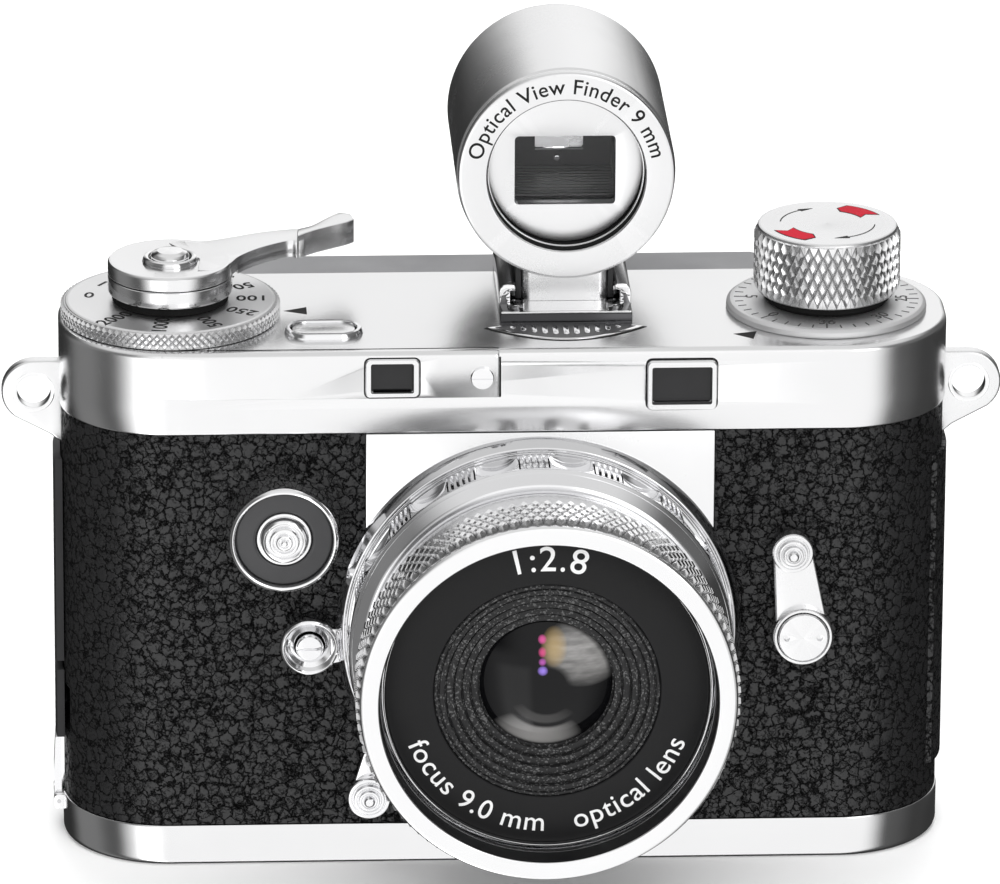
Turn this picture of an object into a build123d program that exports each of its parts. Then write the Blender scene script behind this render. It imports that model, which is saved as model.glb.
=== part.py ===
# Miniature rangefinder-style digital camera with a clip-on optical finder.
# Millimetres. +X to the viewer's right, +Y from the lens towards the back, +Z up.
# Origin: centre of the base plate's underside.
from build123d import *
import math
import os

os.makedirs("parts", exist_ok=True)
P = {}

# ------------------------------------------------------------------ driving dimensions
W, D, RC = 65.8, 18.2, 8.0          # body plan: width, depth, corner radius
H = 40.5                            # top deck height
Z_TOP = 34.1                        # lower edge of the top cover
Z_BASE = 3.25                       # upper edge of the base plate
LX, LZ = 2.35, 18.7                 # lens axis
FLANGE_R = 15.05
FOCUS_R, N_SCALLOP = 14.2, 16
Y_FRONT = -24.8                     # front face of the lens bezel
NAME_Y = -22.0                      # plane of the dark ring inside the bezel
DIAL_X, DIAL_Y, DIAL_R = -24.6, -0.6, 8.1
KNOB_X, KNOB_Y, KNOB_R = 24.05, -0.1, 5.4
FRAME_DIAL_R = 7.45
SHOE_X, SHOE_W = 4.6, 9.8
FND_X, FND_Z, FND_R = 4.65, 51.1, 8.1    # clip-on finder barrel axis and radius
FND_Y0, FND_Y1 = -0.8, 16.5
SOCKET = (-16.5, 26.65)             # flash socket centre on the front
RELEASE = (-14.6, 17.7)             # lens release button
LEVER_P, LEVER_K = (21.9, 18.3), (21.05, 24.9)      # frame selector lever: pivot, knob
REW_P, REW_K = (-9.9, 8.72), (-10.2, 5.75)          # rewind release lever: pivot, knob
LUG_HOLE_R, LUG_HOLE_X, LUG_HOLE_Z, LUG_T = 1.25, 34.75, 34.6, 1.1
REAR_X0, REAR_X1, REAR_Y, REAR_Z = -19.6, 19.8, 13.8, 40.2
EYE_X, EYE_Z = 12.78, 37.5          # built-in finder axis
CLR = 0.1


# ------------------------------------------------------------------ helpers
def box(x0, x1, y0, y1, z0, z1):
    return Pos((x0 + x1) / 2, (y0 + y1) / 2, (z0 + z1) / 2) * Box(abs(x1 - x0), abs(y1 - y0), abs(z1 - z0))


def cz(r, z0, z1, x=0, y=0):
    return Pos(x, y, (z0 + z1) / 2) * Cylinder(r, abs(z1 - z0))


def cy(r, y0, y1, x=0, z=0):
    return Pos(x, (y0 + y1) / 2, z) * Rot(90, 0, 0) * Cylinder(r, abs(y1 - y0))


def cx(r, x0, x1, y=0, z=0):
    return Pos((x0 + x1) / 2, y, z) * Rot(0, 90, 0) * Cylinder(r, abs(x1 - x0))


def rev_y(pts, x=0, z=0):
    """Revolves a closed (radius, y) outline about an axis along Y through (x, z)."""
    f = make_face(Polyline(*[(a, b) for a, b in pts], close=True))
    return Pos(x, 0, z) * revolve(f, Axis.Y)


def rev_z(pts, x=0, y=0):
    """Revolves a closed (radius, z) outline about an axis along Z through (x, y)."""
    f = make_face(Polyline(*[(a, 0, b) for a, b in pts], close=True))
    return Pos(x, y, 0) * revolve(f, Axis.Z)


def plan(off):
    return RectangleRounded(W - 2 * off, D - 2 * off, RC - off)


def prism(off, z0, z1):
    return Pos(0, 0, z0) * extrude(plan(off), z1 - z0)


def xz_poly(pts, y0, y1):
    """Extrudes a closed (x, z) polygon from y0 to y1."""
    f = make_face(Polyline(*[(a, y0, b) for a, b in pts], close=True))
    s = extrude(f, amount=abs(y1 - y0), dir=(0, 1 if y1 > y0 else -1, 0))
    return s


def xy_poly(pts, z0, z1):
    f = make_face(Polyline(*[(a, b, z0) for a, b in pts], close=True))
    return extrude(f, amount=z1 - z0, dir=(0, 0, 1))


def yz_poly(pts, x0, x1):
    f = make_face(Polyline(*[(x0, a, b) for a, b in pts], close=True))
    return extrude(f, amount=x1 - x0, dir=(1, 0, 0))


def slot_z(length, width, z0, z1, x, y):
    """Stadium prism: overall length along X."""
    return Pos(x, y, z0) * extrude(SlotOverall(length, width), z1 - z0)


def rrect_y(w, h, r, y0, y1, x, z):
    """Rounded rectangle in XZ, extruded along Y."""
    s = extrude(RectangleRounded(w, h, r), abs(y1 - y0))
    return Pos(x, max(y0, y1), z) * Rot(90, 0, 0) * s


def soft(shape, edges, r, kind="fillet"):
    """Fillet or chamfer that leaves the shape alone if the kernel refuses."""
    for k in (1.0, 0.7, 0.4):
        try:
            out = fillet(edges, r * k) if kind == "fillet" else chamfer(edges, r * k)
            if out.is_valid and out.volume > 0:
                return out
        except Exception:
            pass
    return shape


def hull2(p, rp, q, rq, y0, y1):
    """Tapered link in XZ between two circles, extruded from y0 to y1."""
    (x0, z0), (x1, z1) = p, q
    d = math.hypot(x1 - x0, z1 - z0)
    a = math.atan2(z1 - z0, x1 - x0)
    b = math.acos((rp - rq) / d)
    pts = [(x0 + rp * math.cos(a + b), z0 + rp * math.sin(a + b)), (x1 + rq * math.cos(a + b), z1 + rq * math.sin(a + b)),
           (x1 + rq * math.cos(a - b), z1 + rq * math.sin(a - b)), (x0 + rp * math.cos(a - b), z0 + rp * math.sin(a - b))]
    return xz_poly(pts, y1, y0) if y1 < y0 else xz_poly(pts, y0, y1)


# ------------------------------------------------------------------ casings
# top cover: a drawn shell with a raised panel on its front left
cover = prism(0, Z_TOP, H)
panel = xy_poly([(-25.4, -8.9), (-25.4, -9.1), (-22.5, -9.42), (-0.66, -9.42), (-0.66, -8.9)], 36.95, H)
cover = cover + panel
top_edges = [e for e in cover.edges() if abs(e.center().Z - H) < 1e-4]
cover = soft(cover, top_edges, 0.45)
cover = cover - (Pos(0, 0, Z_TOP - 1) * extrude(plan(1.1), H - 1.0 - Z_TOP + 1))
cover = cover - rrect_y(3.06 + 0.5, 2.2 + 0.5, 0.3, -9.6, -7.5, -8.5, 38.55)
cover = cover - rrect_y(4.33 + 0.5, 2.8 + 0.5, 0.3, -9.6, -7.5, 12.78, 37.75)
cover = cover - rrect_y(4.9, 3.3, 0.3, 7.5, 9.6, EYE_X, EYE_Z)
cover = cover - cz(2.55, 39, 41, DIAL_X, DIAL_Y) - cz(1.3, 39, 41, KNOB_X, KNOB_Y)
cover = cover - slot_z(4.9, 2.7, 39, 41, -13.4, -4.85)
cover = cover + (slot_z(5.8, 3.6, H - 0.1, H + 0.5, -13.4, -4.85) - slot_z(4.9, 2.7, 40, 42, -13.4, -4.85))
cover = cover - cy(0.45, -9.6, -7.5, -1.9, 38.5)
for s in (-1, 1):
    cover = cover - cx(0.7, s * 34, s * 31, 0, 36.0)
for x in (0.9, 8.3):
    for y in (-1.35,):
        cover = cover - cz(0.4, 39, 41, x, y)
P["top_cover"] = cover

# base plate: shallow tray with the battery opening
BD = (13.6, 30.2, -6.1, 6.1)        # battery opening in the base plate: x0, x1, y0, y1
base = prism(0.05, 0, Z_BASE)
bottom_edges = [e for e in base.edges() if abs(e.center().Z) < 1e-4]
base = soft(base, bottom_edges, 0.6)
base = base - (Pos(0, 0, 1.0) * extrude(plan(1.2), Z_BASE))
base = base - box(BD[0], BD[1], BD[2], BD[3], -1, 2)
BH_Y, BH_Z = 5.5, 0.5               # battery door hinge line
base = base - cx(0.2, BD[0] - 1.2, BD[1] + 1.2, BH_Y, BH_Z)
for x, y in ((-26.0, 0.0), (6.0, 0.0)):
    base = base - cz(0.55, -1, 2, x, y) - cz(1.0, -1, 0.45, x, y)
# hinge ears for the side latch
LT_X, LT_Z = -33.2, 2.35
ears = box(-33.55, -32.5, -1.75, -1.3, 1.75, 2.9) + box(-33.55, -32.5, 1.3, 1.75, 1.75, 2.9)
base = base + ears
base = base - cy(0.16, -2, 2, LT_X, LT_Z)
base = base - box(-33.9, -32.62, -1.3, 1.3, 1.6, 3.4)
P["base_plate"] = base

screws = [(cz(0.98, 0.05, 0.45, x, y) + cz(0.5, 0.45, 4.0, x, y)) - box(x - 0.8, x + 0.8, y - 0.12, y + 0.12, 0, 0.25)
          for x, y in ((-26.0, 0.0), (6.0, 0.0))]

bdoor = box(BD[0] + CLR, BD[1] - CLR, -6.0, BH_Y, 0.08, 0.92) + cx(0.42, BD[0] + CLR, BD[1] - CLR, BH_Y, BH_Z)
bdoor = bdoor - cx(0.25, BD[0] - 1, BD[1] + 1, BH_Y, BH_Z)
bdoor = bdoor - Pos(21.9, -4.7, 0) * Box(5.0, 0.5, 0.5)      # fingernail groove
P["battery_door"] = bdoor
pins = [cx(0.2, BD[0] - 1.2, BD[1] + 1.2, BH_Y, BH_Z)]

# middle casing: cast tube between base plate and top cover
shell = prism(0.6, Z_BASE, Z_TOP) - (Pos(0, 0, 0) * extrude(plan(1.8), 60))
shell = shell - cy(12.1, -12, -6, LX, LZ)
shell = shell - box(-17.8, 17.8, 6, 12, 5.2, 32.6)
shell = shell - box(-34, -29, 1.2, 2.9, 16.6, 28.2) - box(-34, -29, -3.7, 3.7, 8.6, 12.2)
shell = shell - cy(2.0, -12, -6, *SOCKET) - cy(0.85, -12, -6, *RELEASE)
shell = shell - cy(0.85, -12, -6, *LEVER_P) - cy(0.36, -12, -6, *REW_P)
for x in (-26.0, 6.0):
    shell = shell + cz(1.4, Z_BASE, 5.1, x, 0) + box(x - 1.0, x + 1.0, -8.0, -1.2, Z_BASE, 5.1)
    shell = shell - cz(0.5, 0, 4.05, x, 0)
P["body_casing"] = shell

# covering that wraps the casing, open behind the lens and at the back housing
wrap = prism(0.15, Z_BASE + 0.03, Z_TOP - 0.03) - (Pos(0, 0, 0) * extrude(plan(0.57), 60))
wrap = wrap - box(-10.49, 15.34, -10, -6, LZ, Z_TOP + 1) - cy(12.3, -12, -6, LX, LZ)
wrap = wrap - box(REAR_X0, REAR_X1, 6, 12, 0, 40)
wrap = wrap - cy(3.4, -12, -6, *SOCKET) - cy(1.9, -12, -6, *RELEASE)
wrap = wrap - cy(1.2, -12, -6, *LEVER_P) - cy(0.36, -12, -6, *REW_P)
wrap = wrap - box(-34, -29, 1.2, 2.9, 16.6, 28.2) - box(-34, -29, -3.7, 3.7, 8.6, 12.2)
patch = (prism(-0.2, 5.9, 30.4) - (Pos(0, 0, 0) * extrude(plan(0.2), 60))) & box(20, 36, -5.0, 5.0, 0, 40)
P["leather_wrap"] = wrap + patch

plate = box(-10.44, 15.29, -9.1, -8.5, LZ + 0.05, Z_TOP - 0.03) - cy(12.3, -12, -6, LX, LZ)

# ------------------------------------------------------------------ lens: fixed parts
flange = rev_y([(12.3, -9.1), (FLANGE_R, -9.1), (FLANGE_R, -9.55), (14.5, -10.15), (12.3, -10.15)], LX, LZ)
P["front_plate"] = plate + flange
P["lens_base"] = rev_y([(10.6, -5.5), (12.05, -5.5), (12.05, -10.3), (12.05, -14.4), (10.6, -14.4)], LX, LZ) \
    + rev_y([(12.0, -6.0), (13.4, -6.0), (13.4, -7.25), (12.0, -7.25)], LX, LZ)


# focus ring: grip ridges between finger scallops
def focus_outline():
    pts = []
    step = 360 / N_SCALLOP
    for k in range(N_SCALLOP):
        c = k * step + step / 2 + 9.0 - 11.25
        for i in range(5):
            a = c - 4.4 + i * 2.2
            for da, r in ((-1.1, FOCUS_R - 0.22), (-0.62, FOCUS_R), (0.62, FOCUS_R)):
                pts.append((a + da, r))
        pts.append((c + 5.5, FOCUS_R - 0.22))
        for q in (0.25, 0.5, 0.75):
            pts.append((c + 5.5 + q * (step - 11.0), FOCUS_R - 0.02))
    return pts


fo = focus_outline()
ring_pts = [(LX + r * math.sin(math.radians(a)), LZ + r * math.cos(math.radians(a))) for a, r in fo]
fring = xz_poly(ring_pts, -10.75, -13.9)
fring = fring + rev_y([(11.0, -10.35), (13.75, -10.35), (13.75, -14.0), (13.1, -14.8), (11.0, -14.8)], LX, LZ)
fring = fring + rev_y([(13.0, -13.7), (FOCUS_R - 0.05, -13.7), (FOCUS_R - 0.05, -14.0), (13.15, -14.75), (13.0, -14.75)], LX, LZ)
for k in range(N_SCALLOP):
    a = math.radians(k * 360 / N_SCALLOP + 9.0)
    rr = 15.35
    x, z = LX + rr * math.sin(a), LZ + rr * math.cos(a)
    fring = fring - cy(2.05, -9.0, -11.9, x, z) - Pos(x, -11.9, z) * Sphere(2.05)
fring = fring - cy(12.15, -9, -14.5, LX, LZ) - cy(11.0, -9, -16, LX, LZ)
P["focus_ring"] = fring

# ------------------------------------------------------------------ lens: sliding cell
P["lens_barrel"] = rev_y([
    (8.4, -6.5), (10.5, -6.5), (10.5, -15.0), (12.85, -15.0), (12.95, -15.4), (13.33, -19.3), (13.33, -19.9), (12.35, -20.1),
    (12.35, -22.6), (11.8, -22.6), (11.8, -21.2), (8.4, -21.2)], LX, LZ) \
    + rev_y([(5.4, -20.05), (8.45, -20.05), (8.45, -8.0), (4.6, -8.0), (4.6, -13.9), (1.6, -13.9), (1.6, -14.2), (4.6, -14.2), (4.6, -18.7), (5.4, -18.7)], LX, LZ)
P["name_ring"] = rev_y([(8.25, NAME_Y), (11.75, NAME_Y), (11.75, -21.25), (8.25, -21.25)], LX, LZ)
P["lens_baffle"] = rev_y([
    (8.2, -22.05), (7.45, -22.05), (7.38, -21.78), (6.75, -21.72), (6.68, -21.45), (6.05, -21.39), (5.98, -21.12),
    (5.4, -21.06), (5.2, -20.8), (4.85, -20.8), (4.85, -20.1), (8.2, -20.1)], LX, LZ)


def lens_solid(r, y_front, y_back, sag_f, sag_b, x, z):
    """Disc with domed faces. Positive sag bulges outward."""
    n = 10
    pts = []
    for i in range(n + 1):
        t = i / n
        pts.append((r * t, y_front - sag_f * (1 - t * t)))
    for i in range(n + 1):
        t = 1 - i / n
        pts.append((r * t, y_back + sag_b * (1 - t * t)))
    return rev_y(pts, x, z)


P["front_element"] = lens_solid(5.3, -19.85, -18.9, 1.5, 0.2, LX, LZ)
P["rear_elements"] = Compound([lens_solid(4.5, -16.6, -15.4, 0.35, 0.3, LX, LZ), lens_solid(4.5, -11.2, -10.0, 0.3, 0.45, LX, LZ)])

# aperture ring with its polished bezel
P["aperture_ring"] = rev_y([
    (12.45, -20.3), (13.42, -20.3), (13.42, -19.35), (13.8, -19.35), (14.0, -19.55), (14.0, -23.95), (13.75, -24.15), (12.45, -24.15)], LX, LZ)
P["front_bezel"] = rev_y([
    (12.53, -24.2), (13.7, -24.2), (13.73, -24.65), (13.6, Y_FRONT), (12.68, Y_FRONT), (12.53, -24.65)], LX, LZ) \
    + rev_y([(12.0, -22.75), (12.4, -22.75), (12.4, -24.2), (13.0, -24.2), (13.0, -24.4), (12.5, -24.4), (12.2, -23.6), (12.0, -23.5)], LX, LZ)

# ------------------------------------------------------------------ sensor stack and electronics
P["image_sensor"] = Compound([box(LX - 4.5, LX + 4.5, -3.95, -3.0, LZ - 4, LZ + 4), box(LX - 4, LX + 4, -4.6, -4.0, LZ - 3.4, LZ + 3.4)])
brd = box(-24, 12.5, 4.2, 5.2, 7.3, 32.0)
for a in ((-20, -12, 3.2, 4.2, 8, 14), (-8, 2, 3.0, 4.2, 18, 28), (-18, -10, 5.2, 6.2, 18, 26), (-4, 6, 5.2, 6.4, 12, 22), (6, 11, 3.4, 4.2, 9, 14)):
    brd = brd + box(*a)
P["circuit_boards"] = Compound([brd, box(LX - 8.5, LX + 8.5, -3.0, -2.2, LZ - 8.5, LZ + 8.5)])
P["battery"] = box(14.6, 29.2, -5.4, 4.6, 3.6, 32.0)
P["card_slot"] = box(-30.4, -16.0, 0.6, 1.6, 15.6, 29.2) + box(-30.4, -16.0, 2.7, 3.6, 15.6, 29.2) \
    + box(-30.4, -16.0, 1.6, 2.7, 15.6, 16.5) + box(-30.4, -16.0, 1.6, 2.7, 28.3, 29.2) + box(-16.6, -16.0, 0.6, 3.6, 15.6, 29.2)
P["memory_card"] = box(-31.6, -16.7, 1.7, 2.6, 16.9, 27.9)
P["usb_socket"] = box(-31.6, -23.5, -3.45, 3.45, 8.9, 11.9) - box(-33, -24.2, -3.05, 3.05, 9.25, 11.55)

# ------------------------------------------------------------------ back housing and display
rear = box(REAR_X0, REAR_X1, 9.1, REAR_Y, Z_BASE + 0.1, REAR_Z)
rear = soft(rear, [e for e in rear.edges() if abs(e.center().Y - REAR_Y) < 1e-4], 1.1)
rear = rear + box(REAR_X0 + 0.05, REAR_X1 - 0.05, 8.5, 9.1, Z_BASE + 0.1, Z_TOP - 0.1)
rear = rear - box(REAR_X0 + 1.2, REAR_X1 - 1.2, 8, 12.4, Z_BASE + 1.6, 33.0)
LCD = (-17.4, 13.4, 7.3, 31.0)      # display window
rear = rear - box(LCD[0], LCD[1], 11, 14, LCD[2], LCD[3])
KEYS = [10.0, 15.8, 21.6, 27.4]
for z in KEYS:
    rear = rear - cy(1.45, 12, 14, 16.55, z)
rear = rear - rrect_y(4.9, 3.3, 0.3, 8.5, 15, EYE_X, EYE_Z)
rear = rear + (rrect_y(6.4, 4.6, 0.9, REAR_Y, 14.6, EYE_X, EYE_Z) - rrect_y(4.0, 2.6, 0.4, 13, 15, EYE_X, EYE_Z))
P["back_housing"] = rear
P["display_module"] = box(-18.0, 14.0, 10.4, 12.35, 5.6, 31.9)
P["display_window"] = box(LCD[0] + 0.03, LCD[1] - 0.03, 12.9, 13.7, LCD[2] + 0.03, LCD[3] - 0.03)
for i, z in enumerate(KEYS):
    k = cy(1.3, 11.6, 14.25, 16.55, z) + cy(1.75, 11.6, 12.3, 16.55, z)
    P[f"key_{i + 1}"] = soft(k, [e for e in k.edges() if abs(e.center().Y - 14.25) < 1e-4], 0.25)

# built-in finder: frames, glasses, light tunnel
P["finder_tunnel"] = box(EYE_X - 2.9, EYE_X + 2.9, -7.6, 7.9, 35.4, 39.4) - box(EYE_X - 2.3, EYE_X + 2.3, -9, 9, 35.95, 38.85)
fr = rrect_y(5.15, 3.8, 0.4, -9.85, -9.1, 12.78, 37.75) - rrect_y(4.33, 2.8, 0.25, -10, -9, 12.78, 37.75)
fs = rrect_y(4.0, 3.0, 0.25, -9.72, -9.42, -8.5, 38.55) - rrect_y(3.06, 2.2, 0.15, -10, -9, -8.5, 38.55)
P["window_frames"] = Compound([fr, fs])
P["window_glasses"] = Compound([rrect_y(4.8, 3.27, 0.25, -9.08, -8.3, 12.78, 37.75), rrect_y(3.53, 2.67, 0.25, -9.38, -8.3, -8.5, 38.55),
                                rrect_y(4.85, 3.25, 0.28, 13.0, 13.75, EYE_X, EYE_Z)])
screws.append((cy(0.8, -9.42, -9.7, -1.9, 38.5) + cy(0.4, -9.42, -8.0, -1.9, 38.5)) - box(-2.8, -1.0, -9.9, -9.55, 38.42, 38.58))

# ------------------------------------------------------------------ front fittings
sx, sz = SOCKET
P["flash_socket_shell"] = rev_y([(3.35, -8.5), (3.35, -8.95), (4.55, -8.95), (4.5, -9.35), (3.98, -11.4), (3.9, -11.55), (3.62, -11.55),
                                 (3.58, -11.4), (3.55, -10.0), (1.95, -10.0), (1.95, -8.5)], sx, sz)
P["flash_socket_insulator"] = rev_y([(1.75, -11.2), (3.5, -11.2), (3.52, -10.0), (1.95, -10.0), (1.95, -7.6), (1.75, -7.6)], sx, sz)
P["flash_socket_contact"] = rev_y([
    (0.0, -12.2), (0.24, -12.15), (0.24, -11.85), (0.42, -11.85), (0.42, -12.0), (0.62, -12.0), (0.66, -11.75), (0.95, -11.75), (0.95, -11.95),
    (1.22, -11.95), (1.3, -11.6), (1.45, -11.6), (1.72, -11.45), (1.74, -11.2), (1.74, -7.4), (0.0, -7.4)], sx, sz)

rx, rz = RELEASE
guard = rev_y([(1.15, -8.6), (1.85, -8.6), (1.85, -8.95), (2.2, -8.95), (2.2, -10.1), (2.05, -10.25), (1.95, -10.2), (1.25, -9.75), (1.15, -9.75)], rx, rz)
tab = box(rx + 1.3, LX - FLANGE_R + 0.9, -10.05, -8.98, rz - 1.35, rz + 1.2) - cy(FLANGE_R + 0.02, -12, -8, LX, LZ) - cy(1.9, -12, -8, rx, rz)
P["release_guard"] = guard - cy(FLANGE_R + 0.02, -12, -8, LX, LZ) + tab
P["release_button"] = (rev_y([(0.0, -10.35), (0.85, -10.35), (1.02, -10.2), (1.02, -9.3), (0.8, -9.3), (0.8, -7.0), (0.0, -7.0)], rx, rz)
                       - box(rx - 1.2, rx + 1.2, -10.6, -10.15, rz - 0.11, rz + 0.11))


def turned_knob(x, z, r, y0, proud):
    """Stack of turned steps that rise towards the viewer."""
    s = r / 1.6
    return rev_y([(0, y0), (r, y0), (r, y0 - 0.45 * proud), (r - 0.1, y0 - 0.5 * proud), (1.22 * s, y0 - 0.5 * proud), (1.18 * s, y0 - 0.72 * proud),
                  (0.86 * s, y0 - 0.72 * proud), (0.82 * s, y0 - 0.9 * proud), (0.5 * s, y0 - 0.9 * proud), (0.46 * s, y0 - 1.12 * proud), (0.36 * s, y0 - 1.2 * proud), (0, y0 - 1.2 * proud)], x, z)


px_, pz_ = LEVER_P
arm = hull2(LEVER_P, 1.85, LEVER_K, 1.4, -9.2, -10.1) + cy(2.2, -9.2, -10.1, px_, pz_) + cy(1.52, -9.2, -10.1, *LEVER_K)
arm = arm + (cy(2.2, -10.1, -10.75, px_, pz_) - cy(1.92, -10.0, -11.5, px_, pz_))
arm = arm - cy(0.8, -9, -10.3, px_, pz_)
P["selector_lever"] = arm + turned_knob(LEVER_K[0], LEVER_K[1], 1.52, -10.1, 1.25)
cap = cy(1.86, -10.15, -10.95, px_, pz_) + cy(0.72, -7.0, -10.15, px_, pz_)
for s in (-1, 1):
    cap = cap - cy(0.22, -10.6, -11.2, px_ + s * 1.25, pz_)
P["selector_pivot_cap"] = cap

arm2 = hull2(REW_P, 0.74, REW_K, 1.3, -9.1, -9.85) + cy(0.76, -9.1, -9.85, *REW_P) + cy(1.6, -9.1, -9.85, *REW_K)
arm2 = arm2 - cy(0.38, -9, -10, *REW_P)
P["rewind_release_lever"] = arm2 + turned_knob(REW_K[0], REW_K[1], 1.6, -9.85, 1.2)
pins.append(cy(0.34, -6.8, -9.9, *REW_P) + cy(0.6, -9.88, -10.15, *REW_P))

# ------------------------------------------------------------------ strap lugs
lugs = []
for s in (-1, 1):
    r = 2.4
    hx = LUG_HOLE_X
    lug = cy(r, -LUG_T / 2, LUG_T / 2, s * hx, LUG_HOLE_Z)
    a = math.radians(-128)
    tx_, tz_ = hx - r * math.cos(math.radians(52)) * -1, LUG_HOLE_Z + r * math.sin(a)
    pts = [(s * 32.93, 37.0), (s * hx, 37.0), (s * hx, LUG_HOLE_Z), (s * (hx + r * 0.60), LUG_HOLE_Z - r * 0.80), (s * 32.93, 30.7)]
    lug = lug + xz_poly(pts, -LUG_T / 2, LUG_T / 2)
    lug = lug & box(min(s * 32.93, s * 40), max(s * 32.93, s * 40), -2, 2, 20, 45)
    lug = lug - cy(LUG_HOLE_R, -2, 2, s * hx, LUG_HOLE_Z)
    lug = lug + cx(0.7, s * 32.93, s * 31.0, 0, 36.0)
    lugs.append(lug)
P["strap_lugs"] = Compound(lugs)

# ------------------------------------------------------------------ top: dial, lever, release
P["speed_dial"] = rev_z([(2.6, 40.65), (7.9, 40.65), (DIAL_R, 40.8), (DIAL_R, 41.6), (7.85, 41.85), (3.4, 41.85), (3.4, 42.3), (2.6, 42.3)], DIAL_X, DIAL_Y)
P["lever_collar"] = rev_z([(1.5, 38.6), (3.2, 38.6), (3.2, 39.45), (2.5, 39.45), (2.5, 42.5), (4.45, 42.5), (4.6, 42.65), (4.6, 43.8), (1.95, 43.8), (1.95, 45.02),
                           (1.82, 45.12), (1.6, 45.12), (1.5, 45.0)], DIAL_X, DIAL_Y)
P["shutter_button"] = rev_z([(0, 40.2), (1.4, 40.2), (1.4, 45.2), (1.25, 45.42), (0.9, 45.56), (0.45, 45.62), (0, 45.63)], DIAL_X, DIAL_Y)
P["shutter_switch"] = cz(1.6, 37.2, 38.55, DIAL_X, DIAL_Y) + cz(0.9, 38.5, 39.3, DIAL_X, DIAL_Y) + box(DIAL_X - 3.5, DIAL_X + 3.5, DIAL_Y - 3, DIAL_Y + 3, 36.2, 37.2)

# advance lever: disc, swept arm and raised thumb piece
disc = rev_z([(2.03, 43.9), (4.6, 43.9), (4.6, 44.75), (4.45, 44.9), (2.03, 44.9)], DIAL_X, DIAL_Y)
front = [(-21.4, -3.7), (-20.2, -1.74), (-19.5, -0.17), (-18.28, 1.39), (-17.14, 2.38), (-16.09, 3.1), (-15.41, 3.36)]
back = [(-13.9, 5.9), (-15.55, 6.0), (-17.81, 5.34), (-20.07, 4.25), (-22.09, 3.4), (-23.6, 3.7)]
tip = [(-13.9, 4.2)]
arm_pts = front + tip + back + [(-24.6, 2.2), (-22.8, -0.6), (-22.9, -3.4)]
arm = xy_poly(arm_pts, 43.9, 44.9)
thumb_pts = [(-15.14, 3.0), (-14.0, 3.98), (-12.63, 4.78), (-11.5, 5.35), (-10.73, 5.87), (-10.62, 6.7), (-10.98, 7.5), (-11.85, 8.2), (-12.85, 7.35), (-13.95, 6.1), (-15.1, 5.9)]
thumb = xy_poly(thumb_pts, 43.5, 46.0)
tilt_cut = Pos(-12.9, 5, 46.55) * Rot(0, -3.9, 0) * Box(14, 20, 2.0)
thumb = thumb - tilt_cut
web = xy_poly([(-19.72, -0.5), (-19.5, -0.17), (-18.28, 1.39), (-17.14, 2.38), (-16.09, 3.1), (-15.41, 3.36), (-14.9, 4.2), (-14.9, 5.8), (-15.55, 6.0), (-17.81, 5.34), (-20.07, 4.25), (-20.6, 3.9), (-19.9, 1.9)], 43.6, 43.95)
lever = disc + arm + web + thumb
lever = lever - cz(2.03, 43, 46, DIAL_X, DIAL_Y)
P["advance_lever"] = lever

pb = slot_z(4.65, 2.4, 39.3, 40.85, -13.4, -4.85) + slot_z(5.3, 3.05, 38.9, 39.3, -13.4, -4.85)
P["power_button"] = pb

# ------------------------------------------------------------------ top: rewind knob and frame dial
P["frame_dial"] = rev_z([(1.35, 40.6), (7.2, 40.6), (FRAME_DIAL_R, 40.78), (FRAME_DIAL_R - 0.05, 41.0), (7.05, 41.2), (6.9, 41.22), (1.35, 41.22)], KNOB_X, KNOB_Y)
P["rewind_knob"] = rev_z([(0, 38.4), (2.0, 38.4), (2.0, 39.2), (1.25, 39.2), (1.25, 41.95), (4.9, 41.95), (KNOB_R, 42.2), (KNOB_R, 46.75), (5.1, 47.05), (0, 47.05)],
                        KNOB_X, KNOB_Y)
# ------------------------------------------------------------------ accessory shoe
x0, x1 = SHOE_X - SHOE_W / 2, SHOE_X + SHOE_W / 2
shoe = box(x0, x1, -3.0, 9.0, 40.5, 41.2)
for s in (-1, 1):
    xo = SHOE_X + s * SHOE_W / 2
    rail = box(min(xo, xo - s * 1.25), max(xo, xo - s * 1.25), -0.9, 8.9, 41.2, 42.75)
    rail = soft(rail, [e for e in rail.edges() if abs(e.center().X - xo) < 1e-3 and abs(e.center().Z - 42.75) < 1e-3], 0.75)
    rail = rail - box(min(xo - s * 0.5, xo - s * 3), max(xo - s * 0.5, xo - s * 3), -2, 10, 41.2, 42.2)
    shoe = shoe + rail
shoe = soft(shoe, [e for e in shoe.edges() if abs(e.center().Y + 3.0) < 1e-3 and abs(e.center().Z - 41.2) < 1e-3], 0.25)
for x in (0.9, 8.3):
    shoe = shoe - cz(0.42, 40, 42, x, -1.35)
P["accessory_shoe"] = shoe
screws += [(cz(0.65, 41.2, 41.5, x, -1.35) + cz(0.4, 39.0, 41.2, x, -1.35)) - box(x - 0.7, x + 0.7, -1.43, -1.27, 41.35, 41.6) for x in (0.9, 8.3)]
P["slotted_screws"] = Compound(screws)

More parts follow.
